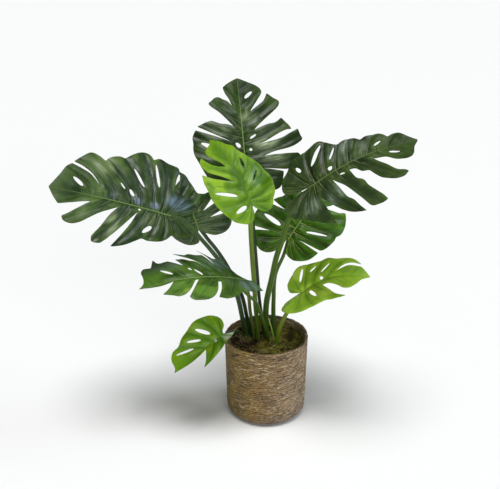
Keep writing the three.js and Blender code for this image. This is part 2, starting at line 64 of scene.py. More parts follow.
# Basket. Lengths are in millimetres, and the cord's overlap and inset are factors.
FOOT_RADIUS = 94.5
INNER_RADIUS = 90
FOOT_ROUND = 21
FOOT_LAP = 3
CORD_WIDE = 3.4
CORD_OVERLAP = 1.1
CORD_RELIEF = 0.5
CORD_LUMPS = 1.1
FOOT_LIFT = 0.6
CORD_INSET = 1.05
WALL_STEPS = 220
WALL_SIDES = 10
WANDER = 3
BASE_TURNS = 12.0
BASE_STEPS = 96
BASE_SIDES = 8
BASE_WIDE = 3
BASE_HIGH = 2.6
BASE_GAP = 1.3
BASE_START = 3
BASE_END = 70
STRAW_LOW = 24
STRAW_TOP_GAP = 4
STRAW_LENGTH = 17
STRAW_WIDTH = 0.72
LINING_RADIUS = 91.2
LINING_ROUND = 13
LINING_FLOOR = 7
LINING_TOP = (93.8, 95.0)
LINING_TOP_GAP = 5
LINING_OUT = 1.6
LINING_DOWN = 2.4
LINING_SIDES = 72
RIM_STRANDS = 22
RIM_POINTS = 36
RIM_RADIUS = 90.8
RIM_STRAND_RADIUS = 0.85
RIM_GAP = 7
RIM_BAND = 11
RIM_SAG = 3
RIM_SWING = 0.9
RIM_WAVER = 1.6

# Moss, in millimetres. Fibres above FIBRE_TOP are pressed down by the share PRESSED.
MOSS_RADIUS = 89.7
MOSS_EDGE = 184
MOSS_BANK = 175
MOSS_BANK_RADIUS = 74
MOSS_MIDDLE = 168
MOSS_MIDDLE_RADIUS = 44
MOSS_RINGS = 50
MOSS_SIDES = 150
FIBRE_TOP = 186
PRESSED = 0.8
FIBRE_THICKNESS = 0.42
STRAND_LENGTH = 36
STRAND_THICKNESS = 0.5
CHIP_SIZE = 2.6
MOSS_FLOOR = MOSS_MIDDLE - 7
MOSS_REACH = INNER_RADIUS - 0.2
LUMP_SHIFT = Vector((31.7, 8.3, 12.1))

# The moss has lumps of three sizes, (height, size, how many times LUMP_SHIFT moves them), and a
# long wave, (height, pace along x, pace along y).
LUMPS = ((3.4, 11, 0), (2.6, 5, 1), (1.2, 2.3, -1))
MOSS_WAVE = (1.6, 14, 17)

# A painted shadow on the moss, near the feet of the stems, is (x, y, radius).
PAINTED_MOSS_SHADOWS = [(58, 36, 20), (2, -50, 22)]

# Stems, in millimetres from the joint or the foot. The flare ends and fades over shares of the
# length. The foot and knee swell, and the wrinkles and neck change, by shares of the radius.
STEM_FOOT = 132
FLARE_END = 0.75
FLARE_FADE = 0.4
FOOT_SWELL = 0.08
FOOT_SWELL_END = 70
KNEE_SWELL = 0.13
KNEE_PLACE = 16
KNEE_REACH = 11
WRINKLE = 0.012
WRINKLE_PACE = 1.9
WRINKLE_REACH = 12
NECK = 0.3
NECK_REACH = 14
STEM_END = 30
STEM_END_RADIUS = 0.7
SHEATH_FOOT = Vector((20, 6, 178))
SHEATH_TOP = Vector((5, 8, 241))
SHEATH_BOW = Vector((0.8, 0, 0))
SHEATH_RADIUS = 3
SHEATH_TIP_RADIUS = 0.9

# Under its blade a stem passes through (u, depth as a share of its radius, further depth).
UNDER_BLADE = ((0, 0.75, 0.8), (14, 0.4, 0.9), (30, 0, 0.9))

BRIGHT_STEMS = ("petiole_6", "petiole_8", "petiole_9", "young_sheath")

# Blade surface, in millimetres. A rib bows by a share of its length, a rounded corner takes up
# at most a share of an edge, and the grid reaches past the leaf's half width by a factor.
FOLD_SOFTNESS = 12
WAVE_HEIGHT = 2.5
WAVES_ALONG = 2
CORNER_SHARE = 0.4
RIB_BOW = 0.05
RIB_LEAST_GAP = 2.5
RIB_END_GAP = 14
HOLE_POINTS = 18
RUMPLE_PERIOD = 24
RUMPLE_HEIGHT = 2.0
SPINE_ROWS = (0, 1.5, -1.5, 3.4, -3.4)
GRID_START = -90
GRID_REACH = 1.25
SHARP_ANGLE = math.radians(62)
HOLE_LEAN = 0.16
CORNER_CLEAR = 1.1

# Points of a blade's mesh. Two points of an edge that lie nearer than SAME_POINT, in millimetres,
# are one. The rest are shares of the mesh step: the steps along a rib and between the rows of the
# grid, and the least gaps on the midrib, on a side rib, in the grid and beside the edge.
SAME_POINT = 0.02
RIB_STEP = 0.8
ROW_STEP = 0.866
SPINE_GAP = 0.35
RIB_GAP = 0.55
GRID_GAP = 0.62
EDGE_GAP = 0.45

# The blade's UV layers hold the number of the rib and millimetres, divided by these.
RIB_UV_SCALE = 10.0
UV_SCALE = 100.0

# Camera, and the lights as (name, place, spread in degrees, share of the key light, tint)
CAMERA_PLACE = (-0.038939, -1.995680, 1.301884)
CAMERA_TILT = math.radians(66.525)
CAMERA_LENS = 68.4
CAMERA_SENSOR = 36
CAMERA_REACH = 1000
LIGHTS = [
    ("key_light", (-0.1, -0.4, 2.9), 26, 1.0, (1, 1, 1)),
    ("side_light", (2.4, 0.3, 1.8), 26, 0.28, (0.8, 0.9, 1.0)),
    ("fill_light", (0.9, -2.7, 0.8), 46, 0.5, (1, 1, 1)),
]

# Each leaf has its own flat frame: u runs from the joint to the tip, v to the left of it.
# heading, pitch and roll place the frame in degrees. The surface sinks by droop at the tip,
# rises by fold on both sides of the midrib, and sinks by curl at half. The midrib bows by sway.
# A point is (u, v), and a third number marks a corner that is rounded by so many millimetres.
# left runs from the tip to the joint, and right runs back from the joint to the tip.
# A hole is (u, v, u, v, width), from one end of it to the other.
# A side rib is (u on the midrib, u at its end, v at its end), and a fourth number bows it.
LEAVES = {
    "leaf_1": {
        "joint": (-226, -20, 517), "heading": -167, "pitch": 22, "roll": -42,
        "length": 264, "half": 125, "droop": 26, "fold": 0.1, "curl": 12,
        "sway": 0, "slot": "leaf_dark",
        "left": [
            (264, -1, 4), (249, 24), (238, 37, 4), (220, 31), (187, 20), (171, 16, 2), (186, 29),
            (216, 57), (227, 65, 4), (220, 75), (205, 79), (190, 74), (149, 40), (111, 15, 2),
            (127, 39), (142, 71), (158, 99, 4), (155, 111), (138, 112), (129, 103), (106, 73),
            (67, 16, 2), (76, 41), (94, 78), (114, 113, 4), (87, 103), (63, 87), (50, 77, 3),
            (33, 79), (10, 74), (-7, 63), (-19, 50), (-40, 50), (-60, 42), (-73, 26), (-68, 12),
            (-40, 5), (-8, 1, 3),
        ],
        "right": [
            (-52, -14), (-65, -28), (-68, -51), (-63, -77), (-47, -97), (-31, -115), (-18, -119, 3),
            (-14, -128), (8, -132), (33, -136), (47, -127, 3), (58, -139), (72, -142), (92, -132),
            (112, -114, 3), (124, -115), (146, -105), (155, -92, 3), (168, -101), (188, -106),
            (205, -93), (222, -74, 3), (201, -67), (179, -53), (156, -27, 2), (182, -51),
            (202, -61), (225, -69, 3), (235, -60), (246, -36),
        ],
        "holes": [
            (217, -36, 193, -18, 9), (114, -47, 102, -34, 4), (91, -37, 80, -22, 7),
            (89, -92, 60, -50, 6), (41, -117, 26, -60, 7), (-18, -112, -14, -68, 8),
            (66, 8, 60, 7, 5), (50, 63, 31, 42, 10),
        ],
        "left_ribs": [
            (215, 250, 14), (178, 236, 34), (128, 215, 68), (84, 150, 106), (44, 103, 104),
            (18, 36, 78), (4, 2, 72), (-2, -30, 54), (-6, -60, 30),
        ],
        "right_ribs": [
            (222, 252, -32), (172, 230, -60, 14), (122, 212, -86, 24), (80, 150, -102, 14),
            (58, 112, -116, 10), (32, 72, -140), (12, 18, -130), (0, -42, -104), (-4, -58, -78),
            (-6, -66, -38),
        ],
    },
    "leaf_2": {
        "joint": (-48, 80, 583), "heading": 99, "pitch": 58, "roll": -3,
        "length": 236, "half": 125, "droop": 30, "fold": 0.05, "curl": 12,
        "sway": 0, "slot": "leaf_dark",
        "left": [
            (235, 0, 4), (222, 24), (212, 37, 4), (196, 32), (181, 25), (163, 19, 2), (175, 28),
            (182, 40), (187, 49), (186, 57), (179, 66), (173, 74, 4), (165, 69), (148, 50),
            (133, 37), (111, 20, 2), (117, 33), (120, 49), (129, 70, 4), (125, 85), (116, 104, 3),
            (95, 66), (74, 29, 2), (92, 69), (108, 109, 3), (90, 117), (77, 116), (63, 117),
            (48, 115), (25, 105), (3, 95), (-22, 80), (-38, 57), (-41, 32), (-27, 12), (-8, 2, 3),
        ],
        "right": [
            (-30, -12), (-47, -32), (-48, -55), (-40, -77), (-15, -86), (-3, -88, 3), (2, -64),
            (6, -40, 2), (1, -96, 3), (19, -126), (34, -130), (39, -126, 4), (38, -85),
            (36, -46, 2), (45, -72), (54, -111), (64, -130), (73, -139), (86, -135), (99, -131, 3),
            (88, -110), (77, -89), (65, -39, 2), (72, -55), (84, -76), (97, -104), (98, -116, 3),
            (108, -111), (127, -94, 3), (116, -79), (113, -62), (100, -28, 2), (112, -40),
            (130, -61), (154, -88), (164, -93), (170, -92), (179, -79), (191, -66, 3), (172, -56),
            (159, -40), (146, -22, 2), (161, -33), (177, -44), (194, -54), (201, -53), (209, -47),
            (227, -15),
        ],
        "holes": [
            (197, -31, 181, -13, 8), (70, 18, 59, 8, 8), (88, -31, 79, -16, 5),
            (55, -16, 49, -15, 7), (76, 98, 52, 52, 12),
        ],
        "left_ribs": [
            (205, 226, 14), (172, 208, 32), (118, 178, 66), (82, 121, 92), (56, 92, 110),
            (34, 56, 114), (14, 18, 98), (0, -22, 78), (-3, -40, 45),
        ],
        "right_ribs": [
            (205, 222, -25), (162, 198, -50), (112, 172, -84), (68, 118, -106), (36, 80, -134),
            (18, 26, -124), (3, -16, -84), (-1, -40, -66), (-3, -46, -36),
        ],
    },
    "leaf_3": {
        "joint": (98, -30, 589), "heading": -3, "pitch": 30, "roll": 29,
        "length": 247, "half": 125, "droop": 26, "fold": 0.25, "curl": 8,
        "sway": 14, "slot": "leaf_dark",
        "left": [
            (247, 2, 4), (229, 22), (215, 37), (203, 39), (191, 36, 3), (186, 44), (176, 52),
            (163, 54), (148, 56), (135, 53, 3), (124, 64), (108, 70), (94, 70), (83, 68, 3),
            (73, 76), (62, 88), (50, 96), (25, 90), (0, 85), (-27, 83), (-40, 65), (-60, 46),
            (-68, 25), (-62, 10), (-40, 2), (-8, 1, 3),
        ],
        "right": [
            (-40, -6), (-62, -14), (-75, -32), (-68, -60), (-55, -78), (-24, -104), (11, -137),
            (29, -148, 3), (24, -119), (15, -75), (10, -48, 2), (40, -106), (53, -126), (68, -140),
            (96, -151, 3), (87, -129), (78, -104), (68, -89), (57, -48), (47, -14, 2), (72, -55),
            (96, -112), (110, -142), (122, -146), (137, -146), (145, -143, 3), (138, -123),
            (118, -82), (111, -57), (99, -43), (89, -8, 2), (101, -11), (114, -29), (128, -37),
            (137, -55), (148, -75), (162, -87), (178, -98), (191, -97), (205, -87, 3), (200, -80),
            (184, -67), (167, -38), (146, -5, 2), (170, -14), (188, -33), (210, -44), (222, -41),
            (228, -34), (235, -15),
        ],
        "holes": [
            (-20, 60, -13, 44, 8), (50, 85, 14, 45, 9), (76, 64, 57, 40, 5), (56, 22, 46, 17, 9),
            (174, 31, 157, 27, 5), (203, -13, 181, -3, 6), (78, -12, 66, -6, 5),
        ],
        "left_ribs": [
            (215, 234, 20), (180, 208, 38), (135, 165, 54), (92, 112, 70), (60, 88, 69),
            (38, 60, 88), (8, 12, 86), (-2, -38, 68), (-4, -64, 34),
        ],
        "right_ribs": [
            (188, 222, -38), (105, 192, -92, 2), (60, 130, -142), (16, 84, -146), (4, 22, -138),
            (-4, -22, -104), (-8, -55, -72), (-10, -70, -35),
        ],
    },
    "leaf_4": {
        "joint": (-162, 70, 450), "heading": 141, "pitch": 65, "roll": -38,
        "length": 117, "half": 75, "droop": 20, "fold": 0.05, "curl": 8,
        "sway": 0, "slot": "leaf_dark",
        "left": [
            (117, 0, 4), (108, 15), (96, 29), (84, 38, 3), (58, 16, 2), (66, 53, 3), (45, 68),
            (20, 71), (0, 64), (-15, 55), (-34, 33), (-36, 10), (-24, 4), (-8, 2, 3),
        ],
        "right": [
            (-23, -17), (-32, -32), (-34, -48), (-32, -62), (-23, -76), (-8, -84), (8, -85, 3),
            (12, -35, 2), (22, -84, 3), (45, -77, 3), (31, -25, 2), (60, -66, 3), (68, -52),
            (68, -41), (74, -27, 3), (95, -20), (108, -12),
        ],
        "holes": [],
        "left_ribs": [(70, 88, 36), (35, 58, 58), (12, 20, 70), (0, -12, 56), (-3, -34, 25)],
        "right_ribs": [
            (60, 92, -22), (32, 62, -52), (16, 32, -80), (4, -2, -84), (-1, -24, -70),
            (-3, -34, -40),
        ],
    },
    "leaf_5": {
        "joint": (57, 70, 427), "heading": 41, "pitch": 43, "roll": 30,
        "length": 163, "half": 100, "droop": 15, "fold": 0.05, "curl": 8,
        "sway": 0, "slot": "leaf_green",
        "left": [
            (163, 0, 4), (150, 24), (128, 42, 3), (104, 16, 2), (110, 58, 3), (92, 66), (75, 70),
            (65, 79), (55, 86, 3), (51, 66), (48, 47, 2), (46, 66), (44, 89, 3), (28, 101),
            (12, 104), (1, 103), (-14, 96), (-24, 91, 3), (-15, 49, 2), (-31, 82, 3), (-42, 75),
            (-58, 62), (-66, 45), (-64, 28), (-52, 13), (-30, 5), (-8, 2, 3),
        ],
        "right": [
            (-19, -4), (-40, -12), (-46, -23), (-47, -38), (-41, -52), (-29, -66), (-14, -74),
            (-1, -78, 3), (1, -24, 2), (6, -79, 3), (11, -84), (28, -91), (46, -94), (53, -92, 3),
            (68, -98), (87, -96), (109, -85), (116, -78), (109, -66), (103, -42), (92, -18, 2),
            (112, -38), (132, -50, 3), (146, -34), (156, -16),
        ],
        "holes": [(13, 83, 9, 34, 11), (45, -74, 27, -26, 6)],
        "left_ribs": [
            (112, 130, 36), (56, 86, 66), (22, 30, 98), (2, -5, 98), (-3, -44, 74), (-5, -64, 38),
        ],
        "right_ribs": [
            (104, 126, -42), (66, 100, -82), (40, 64, -94), (12, 24, -88), (-2, -22, -70),
            (-4, -44, -36),
        ],
    },
    "leaf_6": {
        "joint": (-39, -60, 564), "heading": 150, "pitch": 57, "roll": -17,
        "length": 160, "half": 85, "droop": 26, "fold": 0.05, "curl": 8,
        "sway": -8, "slot": "leaf_bright",
        "left": [
            (160, -1, 4), (151, 6), (145, 20), (138, 30), (127, 30), (117, 23), (103, 13),
            (91, 9, 2), (101, 27), (111, 38), (121, 44), (132, 48, 3), (126, 56), (112, 61),
            (98, 58, 3), (86, 44), (72, 29), (54, 11, 2), (64, 29), (75, 46), (87, 61), (99, 73, 3),
            (79, 80), (63, 81), (44, 83), (24, 82), (1, 76), (-18, 64), (-33, 48), (-41, 34),
            (-42, 21), (-36, 9), (-24, 3), (-8, 1, 3),
        ],
        "right": [
            (-19, -6), (-27, -12), (-35, -22), (-38, -39), (-31, -54), (-19, -67), (-6, -82),
            (8, -88), (25, -85), (46, -79), (62, -77), (75, -70), (92, -57), (110, -45), (124, -42),
            (134, -31), (145, -21),
        ],
        "holes": [
            (95, -38, 69, -32, 7), (52, -57, 36, -36, 5), (51, 69, 23, 24, 8), (-8, 48, -6, 16, 10),
        ],
        "left_ribs": [
            (108, 138, 26), (66, 116, 54), (34, 78, 78), (8, 20, 81), (-3, -26, 56), (-4, -40, 24),
        ],
        "right_ribs": [
            (112, 136, -26), (84, 114, -44), (46, 84, -62), (20, 42, -78), (4, 8, -87),
            (-2, -20, -66), (-4, -36, -34),
        ],
    },
    "leaf_7": {
        "joint": (-59, -60, 376), "heading": -158, "pitch": 15, "roll": -18,
        "length": 227, "half": 90, "droop": 56, "fold": 0, "curl": 8,
        "sway": -7, "slot": "leaf_green",
        "left": [
            (227, -2, 4), (219, -1), (200, 3), (180, 4), (167, 1), (154, -3, 2), (171, 19),
            (184, 30, 3), (166, 37), (153, 45), (141, 43), (128, 33), (108, 2, 2), (101, 2, 2),
            (113, 21), (132, 51, 3), (126, 59), (111, 63), (93, 63), (77, 54), (66, 38),
            (59, 12, 2), (52, 13, 2), (57, 35), (68, 58, 3), (48, 62), (34, 60), (19, 52),
            (11, 44, 3), (7, 37, 2), (-8, 39, 3), (-20, 40), (-34, 33), (-47, 32, 2), (-38, 16),
            (-29, 3),
        ],
        "right": [
            (-15, -1), (0, -9), (13, -28), (25, -51), (38, -66), (51, -73), (64, -92),
            (77, -110, 2), (66, -90), (50, -42, 2), (70, -87, 3), (84, -90), (98, -99), (110, -97),
            (133, -102, 2), (108, -84), (87, -61), (72, -28, 2), (90, -62), (103, -69), (118, -79),
            (134, -78, 2), (122, -50, 2), (152, -74, 3), (172, -73), (180, -90, 2), (190, -62, 3),
            (206, -66, 4), (212, -55), (212, -34), (216, -14),
        ],
        "holes": [(174, -46, 151, -26, 7), (115, -41, 109, -32, 5), (103, -34, 88, -13, 6)],
        "left_ribs": [(176, 205, 2, 2), (112, 170, 34), (66, 118, 60), (20, 50, 61), (-4, -28, 38)],
        "right_ribs": [
            (180, 206, -50), (128, 178, -76), (70, 122, -76), (36, 104, -96), (12, 58, -84),
            (2, 22, -48),
        ],
    },
    "leaf_8": {
        "joint": (-108, -70, 234), "heading": -153, "pitch": -28, "roll": -34,
        "length": 134, "half": 60, "droop": 6, "fold": 0.35, "curl": 0,
        "sway": 0, "slot": "leaf_bright",
        "left": [
            (134, 1, 3), (110, 5), (88, 8), (63, 7), (44, 4, 2), (61, 28), (74, 39, 3), (53, 37),
            (21, 30), (-3, 21), (-20, 18), (-36, 11, 2), (-11, 2, 2),
        ],
        "right": [
            (-12, -6), (-23, -15), (-27, -28), (-23, -40), (-10, -52), (0, -56), (17, -60),
            (32, -60), (53, -55), (73, -49), (90, -39), (108, -37), (118, -30), (123, -21),
            (126, -6),
        ],
        "holes": [
            (36, -46, 14, -18, 9), (69, -35, 40, -20, 6), (106, -27, 65, -15, 5), (18, 1, 10, 1, 6),
        ],
        "left_ribs": [(70, 100, 6, 1), (14, 58, 34), (0, 12, 26), (-4, -22, 17)],
        "right_ribs": [(64, 120, -16), (44, 92, -38), (20, 56, -54), (2, 12, -58), (-4, -20, -36)],
    },
    "leaf_9": {
        "joint": (83, -40, 333), "heading": -22, "pitch": 34, "roll": 34,
        "length": 152, "half": 70, "droop": 50, "fold": 0.25, "curl": 4,
        "sway": 14, "slot": "leaf_bright",
        "left": [
            (152, 2, 3), (142, 24), (138, 31, 3), (115, 38), (99, 33), (87, 27, 2), (100, 38),
            (118, 44), (139, 37, 3), (129, 50), (116, 57), (91, 58), (74, 64), (49, 63), (11, 65),
            (-13, 65), (-30, 54), (-43, 35), (-39, 17), (-19, 6), (-8, 2, 2),
        ],
        "right": [
            (-36, 0), (-59, -2), (-70, -14), (-54, -34), (-37, -46), (8, -61), (37, -57), (62, -49),
            (76, -51), (95, -49), (107, -47, 3), (84, -35), (67, -16), (52, 0, 2), (68, 0),
            (86, -10), (98, -21), (110, -24), (123, -15), (134, -3), (146, 1),
        ],
        "holes": [
            (8, 57, -4, 27, 8), (42, 53, 26, 41, 4), (76, 50, 52, 33, 4), (38, -28, 19, -5, 8),
            (55, 19, 47, 19, 7),
        ],
        "left_ribs": [
            (112, 134, 34), (60, 112, 56), (28, 56, 61), (6, 22, 64), (-3, -26, 56), (-5, -42, 26),
        ],
        "right_ribs": [(78, 112, -20), (30, 92, -46), (6, 34, -56), (-3, -20, -54), (-6, -62, -22)],
    },
}

# Each stem runs from its foot in the filling, given at the moss, through these points.
# A petiole ends under the leaf with its number. A stem's lower part is wider by the share flare.
STEMS = {
    "petiole_1": {
        "radius": 5.2, "flare": 0.2,
        "path": [
            (-47, 39, 178), (-56, 37, 221), (-69, 34, 287), (-97, 27, 361), (-126, 20, 408),
            (-150, 14, 442), (-193, 2, 500),
        ],
    },
    "petiole_2": {
        "radius": 4.5,
        "path": [
            (-4, 50, 178), (-9, 51, 216), (-16, 54, 268), (-21, 58, 332), (-27, 64, 408),
            (-34, 71, 481), (-44, 86, 550),
        ],
    },
    "petiole_3": {
        "radius": 6.2, "flare": 0.15,
        "path": [
            (0, 34, 178), (0, 28, 267), (12, 20, 338), (23, 12, 401), (36, 5, 447), (48, -3, 498),
            (82, -20, 562),
        ],
    },
    "petiole_4": {
        "radius": 4.7, "flare": 0.1,
        "path": [
            (-36, 45, 178), (-45, 49, 216), (-58, 54, 276), (-87, 62, 340), (-115, 70, 386),
            (-141, 78, 418), (-155, 80, 438),
        ],
    },
    "petiole_5": {
        "radius": 4.2, "flare": 0.3,
        "path": [
            (19, 49, 178), (18, 52, 213), (18, 56, 266), (22, 61, 331), (41, 68, 378),
            (52, 77, 412),
        ],
    },
    "petiole_6": {
        "radius": 5.4,
        "path": [
            (-20, 29, 178), (-22, 22, 223), (-26, 12, 273), (-29, 0, 332), (-33, -14, 395),
            (-37, -33, 479), (-39, -50, 545),
        ],
    },
    "petiole_7": {
        "radius": 4.2,
        "path": [
            (6, 16, 178), (-6, 7, 227), (-18, -9, 274), (-26, -20, 299), (-39, -31, 318),
            (-54, -46, 342), (-60, -58, 364),
        ],
    },
    "petiole_8": {
        "radius": 2.8,
        "path": [(-52, 24, 178), (-62, 5, 203), (-74, -15, 219), (-90, -40, 228), (-104, -62, 231)],
    },
    "petiole_9": {
        "radius": 5,
        "path": [(24, -5, 178), (30, -12, 220), (37, -17, 245), (46, -22, 268), (76, -36, 320)],
    },
    "old_stalk": {
        "radius": 4.2,
        "path": [(-29, 34, 178), (-35, 27, 225), (-39, 22, 255), (-41, 17, 284), (-45, 10, 320)],
    },
}

# A cupped hollow in a blade is (u, v, half length, half width, depth).
CUPS = {
    "leaf_3": [(-14, -80, 22, 13, 7), (-44, -60, 24, 12, 4)],
    "leaf_1": [(-38, -62, 26, 18, 5), (150, -72, 30, 14, -4)],
    "leaf_6": [(0, -52, 26, 22, 6)],
    "leaf_9": [(10, -38, 40, 14, 3)],
}

# Look of each leaf: hollows (dark tissue, and the painted shade in the valleys by the side ribs),
# body, crests (lighter tissue and a painted highlight on the crowns between the ribs), side ribs,
# midrib and underside, then how plainly the ribs show, and the gloss
LEAF_LOOKS = {
    "leaf_1": ("#0c1508", "#203416", "#4e672e", "#62804a", "#678446", "#48643a", 0.8, 0.28),
    "leaf_2": ("#0c1508", "#1f3113", "#3f5622", "#5e783c", "#6e8744", "#48643a", 0.85, 0.2),
    "leaf_3": ("#121c0d", "#293b1b", "#4a602e", "#727e4a", "#5d6f42", "#425b34", 1.15, 0.18),
    "leaf_4": ("#16250d", "#2e471f", "#507030", "#76883f", "#66803f", "#48643a", 1.1, 0.4),
    "leaf_5": ("#183004", "#31550d", "#50801a", "#87a03c", "#6a8838", "#4d7028", 1.2, 0.2),
    "leaf_6": ("#3f6806", "#5c8412", "#8ab02a", "#4c6c10", "#466810", "#86ad48", 0.7, 0.32),
    "leaf_7": ("#1a330a", "#3a5718", "#587e2a", "#6f9640", "#7d9c5c", "#55803a", 0.7, 0.26),
    "leaf_8": ("#3a6804", "#5e8a0c", "#84a61a", "#4e7e10", "#578614", "#6c9c40", 0.6, 0.25),
    "leaf_9": ("#5e8f0e", "#88b428", "#b2d640", "#5c8c1a", "#628f20", "#82ac40", 0.4, 0.42),
}

# How far a blade is rumpled, in millimetres, where it isn't RUMPLE_HEIGHT
RUMPLE = {"leaf_1": 1.3, "leaf_7": 0.5, "leaf_9": 1.2}

# An area of painted light on a blade is (u, v, half length, half width, change of tone): a painted
# sheen where the change is above 0, a painted shade where it is below.
PAINTED_LIGHT_AREAS = {
    "leaf_1": [(156, -80, 36, 42, 1.3), (118, 60, 24, 44, 1.3), (214, -4, 40, 34, -1.4),
               (190, 40, 20, 36, 0.5), (30, 30, 44, 36, 0.4)],
    "leaf_2": [(128, -20, 24, 34, 0.9), (62, -54, 30, 44, 0.8), (28, -72, 26, 44, 0.7),
               (106, 54, 28, 44, 0.7), (130, 74, 22, 36, 0.5), (96, -70, 20, 44, 0.3),
               (44, 10, 44, 20, -1.8), (206, -16, 40, 34, -1.6), (60, 80, 40, 40, 0.6)],
    "leaf_3": [(-8, -70, 30, 40, 0.9), (46, -72, 30, 44, 0.9), (76, 40, 30, 40, 0.4),
               (108, 46, 26, 34, 0.8), (144, 46, 24, 24, -1.8), (208, 18, 34, 26, -1.0),
               (112, 8, 40, 14, 0.5)],
    "leaf_4": [(20, -58, 40, 40, 0.8)],
    "leaf_5": [(22, 80, 44, 34, 1.4), (-14, 92, 30, 34, 1.2), (8, 0, 30, 18, -2.0),
               (-40, 46, 30, 24, -1.6)],
    "leaf_6": [(124, 4, 38, 22, -0.8), (54, 6, 38, 22, -1.6), (44, -58, 40, 30, -1.2),
               (68, 58, 38, 24, 0.8)],
    "leaf_7": [(96, 44, 36, 26, 0.9), (146, 20, 24, 16, 0.8), (150, -16, 40, 16, -0.6)],
    "leaf_8": [(42, 6, 28, 14, 0.5)],
    "leaf_9": [(-12, 51, 30, 24, 0.6), (6, -1, 32, 22, 0.7), (74, -37, 36, 20, 0.7),
               (112, 22, 48, 28, -0.7)],
}

# The colour of the painted streaky sheen, a painted highlight, on the lighter areas of the dark
# blades.
PAINTED_SHEENS = {"leaf_1": "#92a07c", "leaf_2": "#98a584", "leaf_3": "#84918a", "leaf_4": "#82926f",
          "leaf_5": "#7c9660"}

# A painted reflection or sheen on a blade, bluish, pale or yellow-green, is (u, v, half length,
# half width, share, colour).
PAINTED_REFLECTIONS = {
    "leaf_1": [(-22, -34, 42, 26, 0.6, "#7488a4"), (30, -12, 16, 12, 0.8, "#8391a8"),
               (68, -12, 14, 11, 0.7, "#8391a8"), (124, -10, 13, 9, 0.5, "#8391a8")],
    "leaf_6": [(38, -32, 28, 26, 0.3, "#a4bcae")],
    "leaf_7": [(-14, 19, 34, 28, 0.7, "#74868c"), (166, -61, 70, 36, 0.65, "#6f8078"),
               (104, -93, 64, 38, 0.7, "#6f8078"), (42, -51, 60, 36, 0.6, "#667c7c"),
               (24, 20, 34, 22, 0.4, "#6c8060"), (60, 38, 12, 9, 0.4, "#9cb43c"),
               (132, 40, 14, 10, 0.4, "#9cb43c")],
    "leaf_8": [(-26, 9, 34, 17, 1.0, "#dbe0cf")],
}

# Look of each stem: shade, body, the joint below its blade, and the gloss
STEM_LOOKS = {
    "petiole_1": ("#1a3410", "#44682e", "#64844a", 0.4),
    "petiole_2": ("#11240b", "#26421a", "#3e5c2e", 0.4),
    "petiole_3": ("#2c4a12", "#647f28", "#7a923c", 0.22),
    "petiole_4": ("#11240b", "#28451a", "#3e5c2e", 0.4),
    "petiole_5": ("#2a4612", "#5c7824", "#6e8a38", 0.22),
    "petiole_6": ("#384c12", "#84a030", "#92b044", 0.22),
    "petiole_7": ("#28420f", "#5c8028", "#789c3c", 0.3),
    # petiole_8's pale joint colour is a painted sheen where it meets its blade
    "petiole_8": ("#1e3010", "#3c5a26", "#9aa886", 0.4),
    "petiole_9": ("#4e6a12", "#8c9a36", "#928842", 0.3),
    "old_stalk": ("#344218", "#6c7e32", "#8a8a54", 0.25),
    "young_sheath": ("#66852c", "#a4c056", "#bed078", 0.4),
}


# Settings that a user would change


def paint(code):
    """Scene-linear colour from a #rrggbb code"""
    parts = [int(code[i:i + 2], 16) / 255 for i in (1, 3, 5)]
    return (*(c / 12.92 if c <= 0.04045 else ((c + 0.055) / 1.055) ** 2.4 for c in parts), 1.0)


def size(name, description, default, **limits):
    return FloatProperty(
        name=name, description=description, default=default, subtype="DISTANCE", unit="LENGTH",
        precision=4, **limits)


def amount(name, description, default, least=0):
    return IntProperty(name=name, description=description, default=default, min=least)


def colour(name, description, code):
    return FloatVectorProperty(
        name=name, description=description, default=paint(code), size=4, min=0, max=1,
        subtype="COLOR")


class BasketSettings(bpy.types.PropertyGroup):
    """Sizes and colours of the basket"""
    height: size("Height", "From the underside to the rim", BASKET_HIGH.z)
    top_radius: size("Rim radius", "Outside radius at the rim", BASKET_HIGH.x)
    foot_radius: size("Foot radius", "Outside radius at the foot", FOOT_RADIUS * MM)
    turns: amount("Turns", "How often the cord goes round the wall", 37, 4)
    lay: size("Lay", "Length of one twist of the cord", 0.021)
    straws: amount("Loose straws", "Flat straws on the outside of the wall", 2800)
    cord_colour: colour("Cord", "Colour of the dry cord", "#9e8254")
    # The gaps colour is the painted shade deep between the turns and in the twist, and also the
    # colour of dark fibres and straws
    shade_colour: colour("Gaps", "Colour deep between the turns", "#3d2c1b")
    straw_colour: colour("Straw", "Colour of the palest straws", "#d9c7a0")


class FillingSettings(bpy.types.PropertyGroup):
    """Amounts and colours of the moss and soil"""
    fibres: amount("Moss fibres", "Loose fibres on the moss", 4500)
    strands: amount("Pale strands", "Long dry strands on the moss", 150)
    chips: amount("Bark chips", "Chips of bark among the moss", 420)
    fibre_length: size("Fibre length", "Length of one moss fibre", 0.011)
    moss_colour: colour("Moss", "Colour of the living moss", "#a69c38")
    soil_colour: colour("Soil", "Colour of the dark filling", "#1a1009")


class LeafSettings(bpy.types.PropertyGroup):
    """Thickness and relief of the blades"""
    thickness: size("Thickness", "Thickness of a blade between its ribs", 0.0012)
    mesh_step: size("Mesh step", "Distance between the points of a blade", 0.0026)
    quilting: size("Quilting", "Most that the blade swells between two side ribs", 0.0034)


class StemSettings(bpy.types.PropertyGroup):
    """Shape of the stems"""
    sides: amount("Sides", "Sides of a stem's section", 20, 8)
    channel: FloatProperty(
        name="Channel", description="Depth of the groove on a stem, as a share of its radius",
        default=0.16, min=0, max=0.6, subtype="FACTOR")
    step: size("Step", "Distance between two sections", 0.003)


class StageSettings(bpy.types.PropertyGroup):
    """Floor, light and camera"""
    floor_colour: colour("Floor", "Colour of the floor", "#f4f4f3")
    floor_size: size("Floor size", "Side of the square floor", 400.0)
    key_power: FloatProperty(
        name="Key light", description="Strength of the large light above", default=2.4, min=0)
    sky_strength: FloatProperty(
        name="Surroundings", description="Strength of the even light from all round",
        default=0.14, min=0)


# Node helpers


